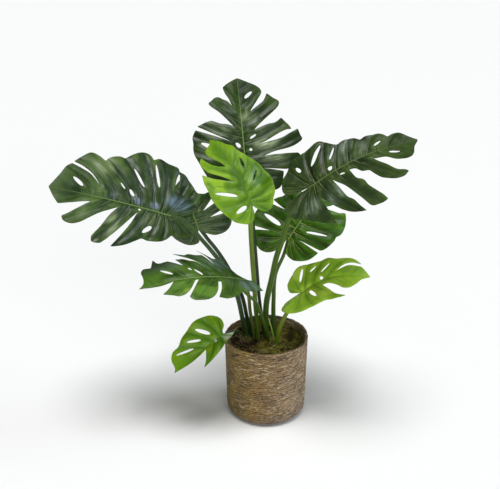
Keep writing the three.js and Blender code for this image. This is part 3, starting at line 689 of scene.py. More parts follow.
class Wire:
    """A node's output. A sum, product or other result of wires is the wire of a new node."""

    def __init__(self, board, made, out=0):
        self.board, self.made, self.out = board, made, out

    def __getitem__(self, out):
        """Another output of the same node, by name or number"""
        return Wire(self.board, self.made, out)

    def calc(self, operation, *others):
        """The wire of a math node"""
        return self.board.node(
            "ShaderNodeMath", dict(enumerate((self, *others))), operation=operation)

    __add__ = __radd__ = partialmethod(calc, "ADD")
    __sub__ = partialmethod(calc, "SUBTRACT")
    __mul__ = partialmethod(calc, "MULTIPLY")
    __truediv__ = partialmethod(calc, "DIVIDE")
    __pow__ = partialmethod(calc, "POWER")
    __abs__ = partialmethod(calc, "ABSOLUTE")

    def __rsub__(self, other):
        return self.calc("MULTIPLY_ADD", -1.0, other)

    def aim(self, operation, *others):
        """The wire of a vector math node"""
        return self.board.node(
            "ShaderNodeVectorMath", dict(enumerate((self, *others))), operation=operation)

    def clamped(self):
        """The same result, held between 0 and 1"""
        self.made.use_clamp = True
        return self

    def fade(self, start, end, low=0.0, high=1.0):
        """A smooth change from low at start to high at end"""
        return self.board.node("ShaderNodeMapRange", {
            "Value": self, "From Min": start, "From Max": end, "To Min": low, "To Max": high},
            interpolation_type="SMOOTHSTEP")


class Board:
    """A node tree, and the nodes that are set on it"""

    def __init__(self, tree, material=None):
        self.tree, self.material = tree, material

    def put(self, value, socket):
        """A wire, a list of wires, a #rrggbb code or a plain value on an input"""
        if isinstance(value, list):
            for item in value:
                self.put(item, socket)
        elif isinstance(value, Wire):
            self.tree.links.new(value.made.outputs[value.out], socket)
        elif isinstance(value, str) and value.startswith("#"):
            socket.default_value = paint(value)
        else:
            socket.default_value = value

    def node(self, kind, values=None, **settings):
        """The wire of a new node with these settings and inputs"""
        made = self.tree.nodes.new(kind)
        for key, value in settings.items():
            setattr(made, key, value)
        for key, value in (values or {}).items():
            self.put(value, made.inputs[key])
        return Wire(self, made)

    def xyz(self, x=0.0, y=0.0, z=0.0):
        return self.node("ShaderNodeCombineXYZ", {0: x, 1: y, 2: z})

    def ring(self, turn, rise=0.0):
        """A place on a circle of radius 1, at a height"""
        return self.xyz(turn.calc("COSINE"), turn.calc("SINE"), rise)

    def wrapped(self, place, radius, rise):
        """The place pushed out from the upright axis by a radius, and put at a height"""
        return place.aim("MULTIPLY", self.xyz(radius, radius)).aim("ADD", self.xyz(z=rise))

    def split(self, vector):
        return self.node("ShaderNodeSeparateXYZ", {0: vector})

    def grain(self, place, scale, detail=3.0, roughness=0.55, distortion=0.0):
        """Uneven noise; its second output is a vector"""
        return self.node("ShaderNodeTexNoise", {
            "Vector": place, "Scale": scale, "Detail": detail, "Roughness": roughness,
            "Distortion": distortion})

    def position(self):
        return self.node("GeometryNodeInputPosition")

    def own_radius(self):
        """The radius that each point of a path holds"""
        return self.node("GeometryNodeInputRadius")

    def chance(self, low, high, seed):
        """A random number for each point"""
        return self.node("FunctionNodeRandomValue", {2: low, 3: high, 8: seed},
                         data_type="FLOAT")[1]

    def tumble(self, seed, *ranges):
        """A random rotation for each point, within a range about each axis"""
        return self.rotation(*(
            self.chance(low, high, seed + i) for i, (low, high) in enumerate(ranges, 2)))

    def rotation(self, *angles):
        return self.node("FunctionNodeEulerToRotation", {0: self.xyz(*angles)})

    def kept(self, geometry, name, value):
        """The geometry with a number stored on its points under a name"""
        return self.node("GeometryNodeStoreNamedAttribute", {
            "Geometry": geometry, "Name": name, "Value": value},
            data_type="FLOAT", domain="POINT")

    def recalled(self, name):
        """A stored number, in a geometry tree"""
        return self.node("GeometryNodeInputNamedAttribute", {"Name": name}, data_type="FLOAT")

    def attribute(self, name):
        """A stored number, in a material"""
        return self.node("ShaderNodeAttribute", attribute_name=name)["Fac"]

    def moved(self, geometry, **where):
        """The geometry with its points at a Position, or moved by an Offset"""
        return self.node("GeometryNodeSetPosition", {"Geometry": geometry, **where})

    def upright(self, path):
        """The path with a section that keeps its upper side up"""
        return self.node("GeometryNodeSetCurveNormal", {"Curve": path}, mode="Z_UP")

    def arc(self, start, end):
        """A straight path of five points, to be bent"""
        line = self.node("GeometryNodeCurvePrimitiveLine", {"Start": start, "End": end})
        return self.node("GeometryNodeResampleCurve", {"Curve": line, "Count": 5})

    def circle(self, sides, radius=1.0):
        return self.node("GeometryNodeCurvePrimitiveCircle", {
            "Resolution": sides, "Radius": radius})

    def oval(self, sides, wide, high):
        return self.node("GeometryNodeTransform", {
            "Geometry": self.circle(sides), "Scale": self.xyz(wide, high, 1.0)})

    def spiral(self, given, start, end):
        return self.node("GeometryNodeCurveSpiral", {
            "Resolution": given["Steps"], "Rotations": given["Turns"], "Start Radius": start,
            "End Radius": end, "Height": 0.0})

    def swept(self, path, section, **more):
        """A closed skin along a path"""
        return self.node("GeometryNodeCurveToMesh", {
            "Curve": path, "Profile Curve": section, "Fill Caps": True, **more})

    def scattered(self, points, piece, turn, scale):
        return self.node("GeometryNodeInstanceOnPoints", {
            "Points": points, "Instance": piece, "Rotation": turn, "Scale": scale})

    def real(self, geometry):
        return self.node("GeometryNodeRealizeInstances", {0: geometry})

    def joined(self, *parts):
        return self.node("GeometryNodeJoinGeometry", {0: list(parts)})

    def ended(self, geometry, given):
        """The finished tree, with real faces and one material as its result"""
        smooth = self.node("GeometryNodeSetShadeSmooth", {"Geometry": self.real(geometry)})
        done = self.node("GeometryNodeSetMaterial", {
            "Geometry": smooth, "Material": given["Material"]})
        self.node("NodeGroupOutput", {0: done})
        return self.tree

    def finished(self, shade, rough, relief=None, depth=0.0, gloss=0.5, fuzz=0.0):
        """The finished material, with a value or a wire for each part of its look"""
        shader = self.tree.nodes["Principled BSDF"].inputs
        looks = {"Base Color": shade, "Roughness": rough, "Specular IOR Level": gloss,
                 "Sheen Weight": fuzz}
        if relief:
            looks["Normal"] = self.node("ShaderNodeBump", {
                "Height": relief, "Distance": depth, "Strength": 1.0})
        for key, value in looks.items():
            self.put(value, shader[key])
        return self.material


def coated(base, *coats):
    """A base colour under coats, each a share and a colour"""
    for share, coat in coats:
        base = share.board.node("ShaderNodeMix", {0: share, 6: base, 7: coat},
                                data_type="RGBA")[2]
    return base


def new_material(name):
    """The board of a new material, and the piece's own coordinates"""
    material = bpy.data.materials.new(name)
    material.use_nodes = True
    board = Board(material.node_tree, material)
    return board, board.node("ShaderNodeTexCoord")["Object"]


def new_tree(name, counts, sizes):
    """The board of a new geometry tree, and its inputs: geometry, counts, sizes and material"""
    tree = bpy.data.node_groups.new(name, "GeometryNodeTree")
    tree.is_modifier = True
    kinds = {"Geometry": "Geometry", **dict.fromkeys(counts.split(), "Int"),
             **dict.fromkeys(sizes.split(), "Float"), "Material": "Material"}
    for label, kind in kinds.items():
        tree.interface.new_socket(label, in_out="INPUT", socket_type="NodeSocket" + kind)
    tree.interface.new_socket("Geometry", in_out="OUTPUT", socket_type="NodeSocketGeometry")
    board = Board(tree)
    return board, board.node("NodeGroupInput")


# Pieces


def linked(name, data):
    made = bpy.data.objects.new(name, data)
    bpy.context.scene.collection.objects.link(made)
    return made


def plain_mesh(name, points, faces):
    mesh = bpy.data.meshes.new(name)
    mesh.from_pydata(points, [], faces)
    return mesh


def spun(radius, turn, z):
    """A point in metres, from a radius, a turn and a height in millimetres"""
    return radius * math.cos(turn) * MM, radius * math.sin(turn) * MM, z * MM


def ring_mesh(name, rings, top, bottom):
    """A closed skin from a point at the top, over rings of points, to a point below"""
    sides, last = len(rings[0]), (len(rings) - 1) * len(rings[0])
    points = [place for ring in rings for place in ring] + [top, bottom]
    first_cap, last_cap = len(points) - 2, len(points) - 1
    faces = []
    for i in range(sides):
        j = (i + 1) % sides
        faces.append((first_cap, i, j))
        for a in range(0, last, sides):
            faces.append((a + i, a + sides + i, a + sides + j, a + j))
        faces.append((last_cap, last + j, last + i))
    return plain_mesh(name, points, faces)


def path_curve(name, runs):
    """Paths of points in metres that hold their radius"""
    curve = bpy.data.curves.new(name, "CURVE")
    curve.dimensions = "3D"
    for places, radii in runs:
        spline = curve.splines.new("POLY")
        spline.points.add(len(places) - 1)
        for point, place, radius in zip(spline.points, places, radii):
            point.co = (*place, 1)
            point.radius = radius
    return curve


def grown(name, start, tree, values):
    """A plain mesh piece, made from start by a geometry node tree"""
    carrier = linked(name + "_start", start)
    modifier = carrier.modifiers.new(tree.name, "NODES")
    modifier.node_group = tree
    for item in tree.interface.items_tree:
        if item.in_out == "INPUT" and item.name in values:
            modifier[item.identifier] = values[item.name]
    depsgraph = bpy.context.evaluated_depsgraph_get()
    mesh = bpy.data.meshes.new_from_object(
        carrier.evaluated_get(depsgraph), preserve_all_data_layers=True, depsgraph=depsgraph)
    bpy.data.objects.remove(carrier)
    mesh.name = name
    if not mesh.polygons:
        raise RuntimeError(name + " has no faces")
    return linked(name, mesh)


def placed(piece, slot, *replaced):
    """The piece on its body, hiding the CAD nodes that it stands for; the slot is not used"""
    if replaced:
        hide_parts(*replaced)
    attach(piece, BODY)


def smooth_curve(points, step):
    """Points at even steps along a centripetal curve through the given ones"""
    knots = [Vector(p) for p in points]
    knots = [2 * knots[0] - knots[1], *knots, 2 * knots[-1] - knots[-2]]
    fine = []
    for p0, p1, p2, p3 in zip(knots, knots[1:], knots[2:], knots[3:]):
        d0, d1, d2 = (max((b - a).length, 1e-4) ** 0.5 for a, b in ((p0, p1), (p1, p2), (p2, p3)))
        m1 = ((p1 - p0) / d0 - (p2 - p0) / (d0 + d1) + (p2 - p1) / d1) * d1
        m2 = ((p2 - p1) / d1 - (p3 - p1) / (d1 + d2) + (p3 - p2) / d2) * d1
        count = max(6, round((p2 - p1).length * 2))
        for i in range(count):
            t = i / count
            fine.append(p1 + m1 * t + (3 * (p2 - p1) - 2 * m1 - m2) * t * t
                        + (2 * (p1 - p2) + m1 + m2) * t ** 3)
    fine.append(knots[-2])
    lengths = [0.0]
    for a, b in zip(fine, fine[1:]):
        lengths.append(lengths[-1] + (b - a).length)
    count = max(1, round(lengths[-1] / step))
    even = []
    at = 0
    for i in range(count + 1):
        goal = lengths[-1] * i / count
        while at < len(lengths) - 2 and lengths[at + 1] < goal:
            at += 1
        share = (goal - lengths[at]) / max(lengths[at + 1] - lengths[at], 1e-9)
        even.append(fine[at].lerp(fine[at + 1], min(share, 1)))
    return even


# Blades


def midrib_at(leaf, u):
    return leaf["sway"] * np.sin(np.pi * np.clip(u / leaf["length"], 0, 1))


def height_at(leaf, u, v):
    """Height of the blade's middle above the leaf's flat frame, in millimetres"""
    half = leaf["half"]
    reach = np.minimum(1, np.abs(v) / half)
    fold = leaf["fold"] * (np.hypot(v, FOLD_SOFTNESS) - FOLD_SOFTNESS)
    turn = 2 * np.pi * WAVES_ALONG * u / leaf["length"] + v / half
    wave = WAVE_HEIGHT * reach ** 2 * np.sin(turn)
    return fold + wave - leaf["droop"] * (u / leaf["length"]) ** 2 - leaf["curl"] * (v / half) ** 2


def leaf_matrix(leaf):
    """From the leaf's flat frame to the plant, in millimetres"""
    heading, pitch, roll = (math.radians(leaf[key]) for key in ("heading", "pitch", "roll"))
    along = Vector((math.cos(pitch) * math.cos(heading), math.cos(pitch) * math.sin(heading),
                    math.sin(pitch)))
    level = Vector((0, 0, 1)).cross(along).normalized()
    across = Matrix.Rotation(roll, 3, along) @ level
    out = along.cross(across)
    turned = Matrix((along, across, out)).transposed().to_4x4()
    return Matrix.Translation(leaf["joint"]) @ turned


def outline_of(leaf, step):
    """The blade's edge: smooth runs between corners, and a rounded corner where two meet"""
    points = leaf["left"] + leaf["right"]
    runs = []
    run = [points[0]]
    for point in points[1:] + points[:1]:
        run.append(point)
        if len(point) > 2:
            runs.append(run)
            run = [point]
    lines = [smooth_curve([p[:2] for p in part], step) for part in runs]
    outline = []
    for i, line in enumerate(lines):
        following = lines[(i + 1) % len(lines)]
        corner = line[-1]
        radius = runs[i][-1][2]

        def toward(others):
            """The point of a run that lies as far from the corner as it is rounded"""
            most = min(radius, CORNER_SHARE * (others[-1] - corner).length)
            for other in others:
                if (other - corner).length > most:
                    return corner + (other - corner).normalized() * most
            return others[-1]

        start, end = toward(line[::-1]), toward(following)
        outline += [p for p in line if (p - corner).length > radius * CORNER_CLEAR]
        for t in (0, 0.25, 0.5, 0.75, 1):
            outline.append(start * (1 - t) ** 2 + corner * 2 * t * (1 - t) + end * t * t)
        lines[(i + 1) % len(lines)] = [
            p for p in following if (p - corner).length > radius * CORNER_CLEAR]
    return [(p.x, p.y) for p in outline]


def hole_of(hole):
    """A long drop shape from one end of the hole to the other"""
    start, end = Vector(hole[:2]), Vector(hole[2:4])
    side = (end - start).normalized().orthogonal()
    ring = []
    for i in range(HOLE_POINTS):
        turn = 2 * math.pi * i / HOLE_POINTS
        share = 0.5 - 0.5 * math.cos(turn)
        wide = math.sin(turn) * (1 - HOLE_LEAN * math.cos(turn)) * hole[4] / 2
        ring.append(tuple(start.lerp(end, share) + side * wide))
    return ring


def inside(rings, points):
    """Which points lie in the blade, by counting the edges that they cross"""
    x, y = points[:, 0], points[:, 1]
    odd = np.zeros(len(points), bool)
    for ring in rings:
        ring = np.array(ring)
        for (x1, y1), (x2, y2) in zip(ring, np.roll(ring, -1, axis=0)):
            if y1 != y2:
                odd ^= ((y1 > y) != (y2 > y)) & (x < (x2 - x1) * (y - y1) / (y2 - y1) + x1)
    return odd


def margin_of(rings, points):
    """Distance of each point from the blade's nearest edge"""
    dense = []
    for ring in rings:
        ring = np.array(ring)
        for share in (0, 0.5):
            dense.append(ring * (1 - share) + np.roll(ring, -1, axis=0) * share)
    dense = np.concatenate(dense)
    nearest = np.full(len(points), 1e9)
    for part in np.array_split(dense, max(1, len(dense) // 200)):
        gap = points[:, None, :] - part[None, :, :]
        nearest = np.minimum(nearest, np.hypot(gap[..., 0], gap[..., 1]).min(axis=1))
    return nearest


def rib_lines(leaf, side, lateral):
    """Where each side rib runs at a distance from the midrib, from the tip to the joint"""
    lines = []
    for u0, u1, v1, *bow in leaf["left_ribs" if side > 0 else "right_ribs"]:
        reach = abs(v1 - float(midrib_at(leaf, u1)))
        t = lateral / reach
        near = np.clip(t, 0, 1)
        bend = bow[0] if bow else RIB_BOW * math.hypot(u1 - u0, reach)
        lines.append(u0 + (u1 - u0) * t - 4 * bend * near * (1 - near))
    for i in range(1, len(lines)):
        lines[i] = np.minimum(lines[i], lines[i - 1] - RIB_LEAST_GAP)
    return [lines[0] + RIB_END_GAP, *lines, lines[-1] - RIB_END_GAP]


def rib_field(leaf, side, u, v):
    """A number that is whole on each side rib, and the distance between the ribs there"""
    lateral = np.abs(v - midrib_at(leaf, u))
    lines = np.array(rib_lines(leaf, side, lateral))
    above = np.clip((lines > u).sum(axis=0) - 1, 0, len(lines) - 2)
    column = np.arange(len(u))
    upper, lower = lines[above, column], lines[above + 1, column]
    spacing = upper - lower
    return above + (upper - u) / spacing, spacing


def spread_points(leaf, rings, step):
    """Points for the blade's mesh: its edges, its ribs, and an even grid between them"""
    cells = {}
    points = []

    def add(u, v, least):
        """One more point, unless another lies nearer than least"""
        column, row = math.floor(u / step), math.floor(v / step)
        for i in (-1, 0, 1):
            for j in (-1, 0, 1):
                for a, b in cells.get((column + i, row + j), ()):
                    if (a - u) ** 2 + (b - v) ** 2 < least * least:
                        return
        cells.setdefault((column, row), []).append((u, v))
        points.append((u, v))

    edges = []
    for ring in rings:
        first = len(points)
        for u, v in ring:
            add(u, v, SAME_POINT)
        last = len(points)
        edges += [(i, i + 1 if i + 1 < last else first) for i in range(first, last)]
    trial = []
    spine = np.arange(-5, leaf["length"] - 2, step * RIB_STEP)
    for offset in SPINE_ROWS:
        trial += [(u, v, SPINE_GAP * step) for u, v in zip(spine, midrib_at(leaf, spine) + offset)]
    reach = leaf["half"] * GRID_REACH
    for side in (1, -1):
        lateral = np.arange(4.5, reach, step * RIB_STEP)
        for line in rib_lines(leaf, side, lateral)[1:-1]:
            steps = np.concatenate([[1], np.hypot(np.diff(line), np.diff(lateral)) / step])
            for u, away, stretch in zip(line, lateral, steps):
                if stretch < 3:
                    trial.append((u, float(midrib_at(leaf, u)) + side * away, RIB_GAP * step))
    for j, v in enumerate(np.arange(-reach, reach, step * ROW_STEP)):
        for u in np.arange(GRID_START + (j % 2) * step / 2, leaf["length"], step):
            trial.append((u, v, GRID_GAP * step))
    trial = np.array(trial)
    trial = trial[inside(rings, trial[:, :2])]
    trial = trial[margin_of(rings, trial[:, :2]) > EDGE_GAP * step]
    for u, v, least in trial:
        add(u, v, least)
    return points, edges


def flat_blade(leaf, rings, step):
    """The flat blade's points and triangles, all turned the same way"""
    points, edges = spread_points(leaf, rings, step)
    flat, _, triangles, *_ = delaunay_2d_cdt([Vector(p) for p in points], edges, [], 1, 1e-5)
    flat, triangles = np.array([tuple(p) for p in flat]), np.array(triangles)
    triangles = triangles[inside(rings, flat[triangles].mean(axis=1))]
    used = np.unique(triangles)
    place = np.full(len(flat), -1)
    place[used] = np.arange(len(used))
    flat, triangles = flat[used], place[triangles]
    a, b, c = (flat[triangles[:, i]] for i in range(3))
    ab, ac = b - a, c - a
    turned = ab[:, 0] * ac[:, 1] - ab[:, 1] * ac[:, 0] < 0
    triangles[turned] = triangles[turned][:, ::-1]
    return flat, triangles


def blade_levels(name, leaf, settings, flat, margin, phase, spacing):
    """Heights of the blade's upper and lower side, with ribs, quilting and a thinner rim"""
    thickness, quilting = settings.thickness / MM, settings.quilting / MM
    u, v = flat[:, 0], flat[:, 1]
    lateral = np.abs(v - midrib_at(leaf, u))
    taper = np.clip(1 - 0.75 * u / leaf["length"], 0.2, 1)
    # It swells between two side ribs, less towards the tip, the midrib and the edge.
    bulge = 1 - np.abs(2 * (phase % 1) - 1) ** 2.4
    swell = np.minimum(0.17 * spacing, quilting) * bulge * np.clip((spacing - 4) / 13, 0.12, 1)
    swell *= 1 - 0.7 * np.clip((u / leaf["length"] - 0.55) / 0.3, 0, 1)
    swell *= np.clip((lateral - 1.5) / 9, 0, 1) * (0.55 + 0.45 * np.clip(margin / 9, 0, 1))
    # A crease follows each side rib, and a groove follows the midrib.
    crease = 0.35 * np.exp(-(np.sin(np.pi * phase) * spacing / np.pi / 1.1) ** 2)
    crease *= np.clip((spacing - 6) / 16, 0.2, 1)
    crease *= np.clip(1.2 - lateral / leaf["half"], 0.2, 1) * np.clip(lateral / 3, 0, 1)
    groove = 0.7 * taper * np.exp(-(lateral / 1.7) ** 2)
    # It is rumpled all over, and cupped in some places.
    level = height_at(leaf, u, v) + swell
    seed = sum(map(ord, name))
    rough = [noise.noise((a / RUMPLE_PERIOD, b / RUMPLE_PERIOD, seed)) for a, b in flat.tolist()]
    level += RUMPLE.get(name, RUMPLE_HEIGHT) * np.array(rough) * np.clip(lateral / 14, 0, 1)
    for cu, cv, ru, rv, depth in CUPS.get(name, []):
        level -= depth * np.exp(-((u - cu) / ru) ** 2 - ((v - cv) / rv) ** 2)
    # It is thinner at the edge, and the midrib stands out below.
    rim = thickness * (0.24 + 0.26 * (1 - np.exp(-margin / 1.6)))
    rib = 2.0 * taper * np.exp(-(lateral / (2.2 * taper + 0.4)) ** 2)
    rib *= np.clip((u + 6) / 8, 0, 1)
    upper = level + rim - crease - groove
    lower = level - rim - 1.2 * crease - np.minimum(rib, margin * 1.2)
    return upper, lower


def blade_mesh(name, leaf, settings):
    """One leaf's blade: its two sides, a border round it, and what its material reads"""
    step = settings.mesh_step / MM
    rings = [outline_of(leaf, step)] + [hole_of(hole) for hole in leaf["holes"]]
    flat, triangles = flat_blade(leaf, rings, step)
    u, v = flat[:, 0], flat[:, 1]
    signed = v - midrib_at(leaf, u)
    fields = {side: rib_field(leaf, side, u, v) for side in (1, -1)}
    phase, spacing = np.where(signed > 0, fields[1], fields[-1])
    margin = margin_of(rings, flat)
    levels = blade_levels(name, leaf, settings, flat, margin, phase, spacing)
    matrix = leaf_matrix(leaf)
    turn, origin = np.array(matrix.to_3x3()), np.array(matrix.translation)
    points = [np.stack([u, v, level], axis=1) @ turn.T + origin for level in levels]

    count = len(flat)
    directed = dict.fromkeys(
        edge for p, q, r in triangles.tolist() for edge in ((p, q), (q, r), (r, p)))
    border = [(p, q) for p, q in directed if (q, p) not in directed]
    faces = triangles.tolist() + (triangles[:, ::-1] + count).tolist()
    faces += [(q, p, p + count, q + count) for p, q in border]
    mesh = plain_mesh(name, (np.concatenate(points) * MM).tolist(), faces)
    mesh.shade_smooth()

    corners = np.zeros(len(mesh.loops), int)
    mesh.loops.foreach_get("vertex_index", corners)
    corners %= count
    middle = flat[triangles].mean(axis=1)
    side_of_face = np.sign(middle[:, 1] - midrib_at(leaf, middle[:, 0]))
    border_side = np.array([np.sign(signed[p] + signed[q]) for p, q in border])
    sides = np.concatenate([side_of_face, side_of_face, border_side])
    owner = np.repeat(sides, [len(face) for face in faces])
    number, gap = (np.where(owner >= 0, fields[1][k][corners], fields[-1][k][corners])
                   for k in (0, 1))
    for label, first, second in (
            ("ribs", number / RIB_UV_SCALE, gap / UV_SCALE),
            ("blade", u[corners] / UV_SCALE, signed[corners] / UV_SCALE)):
        layer = mesh.uv_layers.new(name=label)
        layer.data.foreach_set("uv", np.stack([first, second], axis=1).ravel())
    for label, value in (
            ("margin", np.concatenate([margin, margin])),
            ("under", np.concatenate([np.zeros(count), np.ones(count)]))):
        mesh.attributes.new(label, "FLOAT", "POINT").data.foreach_set("value", value)
    mesh.set_sharp_from_angle(angle=SHARP_ANGLE)
    mesh.validate()
    return mesh


def away_from(along, signed, u, v, run_u, run_v):
    """How far a point is from the middle of an area, where 1 is the area's edge"""
    return along.board.xyz((along - u) / run_u, (signed - v) / run_v).aim("LENGTH")[1]


def leaf_material(leaf):
    """A leathery cuticle with pale ribs, streaks between them and a thin dark edge, with painted
    shade in the valleys by the ribs and painted highlights, sheens and reflections
    """
    hollow, body, crest, rib_colour, spine_colour, under_colour, veins, gloss = LEAF_LOOKS[leaf]
    span = LEAVES[leaf]["length"]
    name = leaf.replace("_", " ") + " cuticle"
    board, place = new_material(name)
    ribs = board.split(board.node("ShaderNodeUVMap", uv_map="ribs"))
    blade = board.split(board.node("ShaderNodeUVMap", uv_map="blade"))
    # Where the point lies between the ribs
    phase, spacing = ribs[0] * RIB_UV_SCALE, ribs[1] * UV_SCALE
    along, signed = blade[0] * UV_SCALE, blade[1] * UV_SCALE
    lateral = abs(signed)
    margin = board.attribute("margin")
    under = board.attribute("under").fade(0.4, 0.6)
    from_joint = (along ** 2.0 + lateral ** 2.0).calc("SQRT")
    share = abs((phase + 0.5).calc("FRACT") - 0.5)
    tipward = along.fade(0.5 * span, 0.75 * span, veins, 0.2 * veins)
    plain = spacing.fade(5.0, 14.0, 0.15, 1.0) * tipward
    thin = share * spacing / lateral.fade(0.0, 95.0, 1.35, 0.35)
    side_rib = thin.fade(0.3, 1.15, 1.0, 0.0) * (plain * lateral.fade(12.0, 65.0, 1.0, 0.3))
    spine_width = along.fade(0.0, 250.0, 2.0, 0.7)
    spine = (lateral / spine_width).fade(0.5, 1.1, 1.0, 0.0)
    tip = along.fade(0.5 * span, 0.85 * span)

    # Noise that runs along the side ribs, and a fine net of veins
    run = board.xyz(phase * 22.0, lateral * 0.1, float(sum(map(ord, name))))
    bands = board.grain(run, 0.2, 2.0, 0.5)
    streaks = board.grain(run, 0.5)
    fine = board.grain(run, 2.2, 2.0)
    patches = board.grain(place, 22.0, 3.0, 0.5, 0.4)
    cells = board.node("ShaderNodeTexVoronoi", {"Vector": place, "Scale": 420.0},
                       feature="DISTANCE_TO_EDGE")
    net = cells.fade(0.02, 0.14)

    # The tissue's tone, with a painted highlight on the crowns between the ribs, and the coats of
    # colour that follow it
    sheen = PAINTED_SHEENS.get(leaf)
    crown = share.fade(0.05, 0.4) * plain + (1.0 - plain).clamped()
    # Painted sheen and painted shade in the listed areas change the tone
    painted_light = sum(away_from(along, signed, *area).fade(0.1, 1.0, change, 0.0)
               for *area, change in PAINTED_LIGHT_AREAS[leaf])
    tone = (crown * 0.25 + patches * 0.7 + bands * 0.7 + streaks * 0.4
            + painted_light * (0.3 if sheen else 1.0) + from_joint.fade(60.0, 240.0, -0.6, -0.3)).clamped()
    # The hollow colour in the valleys by the side ribs is painted shade
    valley = (thin.fade(0.6, 3.4, 0.8, 0.0) * plain).clamped()
    threads = streaks.fade(0.55, 0.68) * lateral.fade(5.0, 60.0, 0.5 * veins, 0.0)
    # Lighter along the edge: partly a painted rim light and partly greener margins
    green_margin_and_rim_light = margin.fade(1.0, 12.0, 0.4, 0.0) * patches.fade(0.4, 0.6)
    coats = [(tone.fade(0.0, 0.5), body), (tone.fade(0.45, 0.95), crest), (valley, hollow),
             (net * 0.07, crest), (threads, rib_colour), (side_rib * 0.75, rib_colour),
             (spine * 0.85, spine_colour), (green_margin_and_rim_light, crest)]
    # A painted streaky sheen, a painted highlight, on the lighter areas of the dark blades
    if sheen:
        streaky = bands.fade(0.38, 0.56, 0.2, 1.0) * streaks.fade(0.4, 0.56, 0.4, 1.0)
        shine = (painted_light + 0.0).clamped() * streaky * crown.fade(0.0, 1.0, 0.3, 1.0)
        coats.append((shine, sheen))
    # Painted reflections and sheens in the listed areas, held to the crowns and bands
    banded = bands.fade(0.38, 0.58, 0.35, 1.0)
    for *area, most, tint in PAINTED_REFLECTIONS.get(leaf, []):
        spread = away_from(along, signed, *area).fade(0.25, 1.0, most, 0.0)
        coats.append((spread * banded * crown.fade(0.0, 1.0, 0.45, 1.0), tint))
    upper = coated(hollow, *coats, (tip * 0.45, body),
                   (margin.fade(0.15, 1.4, 0.35, 0.0), hollow))
    lower = coated(under_colour, (patches, crest),
                   (spine.calc("MAXIMUM", side_rib), spine_colour))
    return board.finished(
        coated(upper, (under, lower)),
        rough=patches * 0.22 + 0.18 + valley * 0.22 + bands * 0.1 + under * 0.2,
        relief=bands + streaks * 0.14 + (fine + net) * 0.03 - side_rib * 0.35, depth=0.6 * MM,
        gloss=tip.fade(0.0, 1.0, gloss, 0.4 * gloss))


class MONSTERA_OT_leaves(bpy.types.Operator):
    """Makes the nine blades with their ribs, holes and quilting"""
    bl_idname = "monstera.leaves"
    bl_label = "Leaves"

    def execute(self, context):
        for name, leaf in LEAVES.items():
            mesh = blade_mesh(name, leaf, context.scene.monstera_leaves)
            mesh.materials.append(leaf_material(name))
            placed(linked(name + "_blade", mesh), leaf["slot"], name)
        return {"FINISHED"}


# Stems


def stem_tree():
    """A grooved round stem along a path whose points hold its radius"""
    board, given = new_tree("Stem along its path", "Sides", "Channel")
    parameter = board.node("GeometryNodeSplineParameter")
    path = board.kept(given["Geometry"], "along", parameter["Length"])
    path = board.kept(path, "share", parameter["Factor"])
    spot = board.position()
    squeeze = 1.0 - board.split(spot)[1].fade(0.55, 1.0) * given["Channel"]
    section = board.moved(board.circle(given["Sides"]), Position=spot.aim(
        "MULTIPLY", board.xyz(1.0, squeeze, 1.0)))
    section = board.kept(section, "around", parameter["Factor"])
    return board.ended(board.swept(path, section, Scale=board.own_radius()), given)


def stem_points(name, stem, step):
    """The stem's middle line and its radius at each point, in millimetres"""
    foot = stem["path"][0]
    line = [(foot[0], foot[1], STEM_FOOT), *stem["path"]]
    radius = stem["radius"]
    leaf = LEAVES.get(name.replace("petiole", "leaf"))
    if not leaf:
        path = smooth_curve(line, step)
        ends = [math.sqrt(max(0.02, 1 - max(0, 1 - i / 2) ** 2)) for i in range(len(path))]
        return path, [radius * end for end in reversed(ends)]
    matrix = leaf_matrix(leaf)
    for u, share, more in UNDER_BLADE:
        v = float(midrib_at(leaf, u))
        depth = radius * share + more
        line.append(tuple(matrix @ Vector((u, v, float(height_at(leaf, u, v)) - depth))))
    under_joint = Vector(line[-len(UNDER_BLADE)])
    path = smooth_curve(line, step)
    joint = min(range(len(path)), key=lambda i: (path[i] - under_joint).length)
    radii = []
    for i in range(len(path)):
        before = (joint - i) * step
        flare = stem.get("flare", 0) * min(1, max(0, (FLARE_END - i / joint) / FLARE_FADE))
        base = 1 + flare + FOOT_SWELL * max(0, 1 - i * step / FOOT_SWELL_END)
        knee = KNEE_SWELL * math.exp(-((before - KNEE_PLACE) / KNEE_REACH) ** 2)
        wrinkle = WRINKLE * math.sin(before * WRINKLE_PACE) * math.exp(
            -((before - KNEE_PLACE) / WRINKLE_REACH) ** 2)
        neck = 1 - NECK * math.exp(-abs(before) / NECK_REACH)
        past = min(1, max(0, -before / STEM_END))
        radii.append(radius * (base + knee + wrinkle) * neck * (1 - past) + STEM_END_RADIUS * past)
    return path, radii


def sheath_points(step):
    """The young sheath's middle line and its radius at each point, in millimetres"""
    foot, top = SHEATH_FOOT, SHEATH_TOP
    deep = foot + (top - foot) * (STEM_FOOT - foot.z) / (top.z - foot.z)
    path = smooth_curve([deep, foot, foot.lerp(top, 0.5) + SHEATH_BOW, top], step)
    last = len(path) - 1
    return path, [SHEATH_RADIUS + (SHEATH_TIP_RADIUS - SHEATH_RADIUS) * (i / last) ** 1.5
                  for i in range(len(path))]


def stem_material(name, look):
    """Smooth green skin with fine lengthwise lines, and painted shade near the filling"""
    shade, body, joint, gloss = look
    board, place = new_material(name)
    along, around, share = (board.attribute(key) for key in ("along", "around", "share"))
    lines = board.grain(board.ring(around * math.tau, along * 9.0), 1.8)
    specks = board.grain(place, 480.0, 2.0)
    patches = board.grain(place, 36.0)
    # The shade colour near the filling, where the share is below 0.5, is painted shade; the dark
    # specks are the skin's own
    skin = coated(
        shade, ((lines * 0.9 + patches * 0.6 - 0.3).clamped(), body),
        (share.fade(0.72, 0.98, 0.0, 0.7), joint), (share.fade(0.12, 0.5, 0.75, 0.0), shade),
        (specks.fade(0.6, 0.75, 0.0, 0.25), shade))
    return board.finished(
        skin, rough=0.26 + lines * 0.22, relief=lines, depth=0.3 * MM, gloss=gloss)


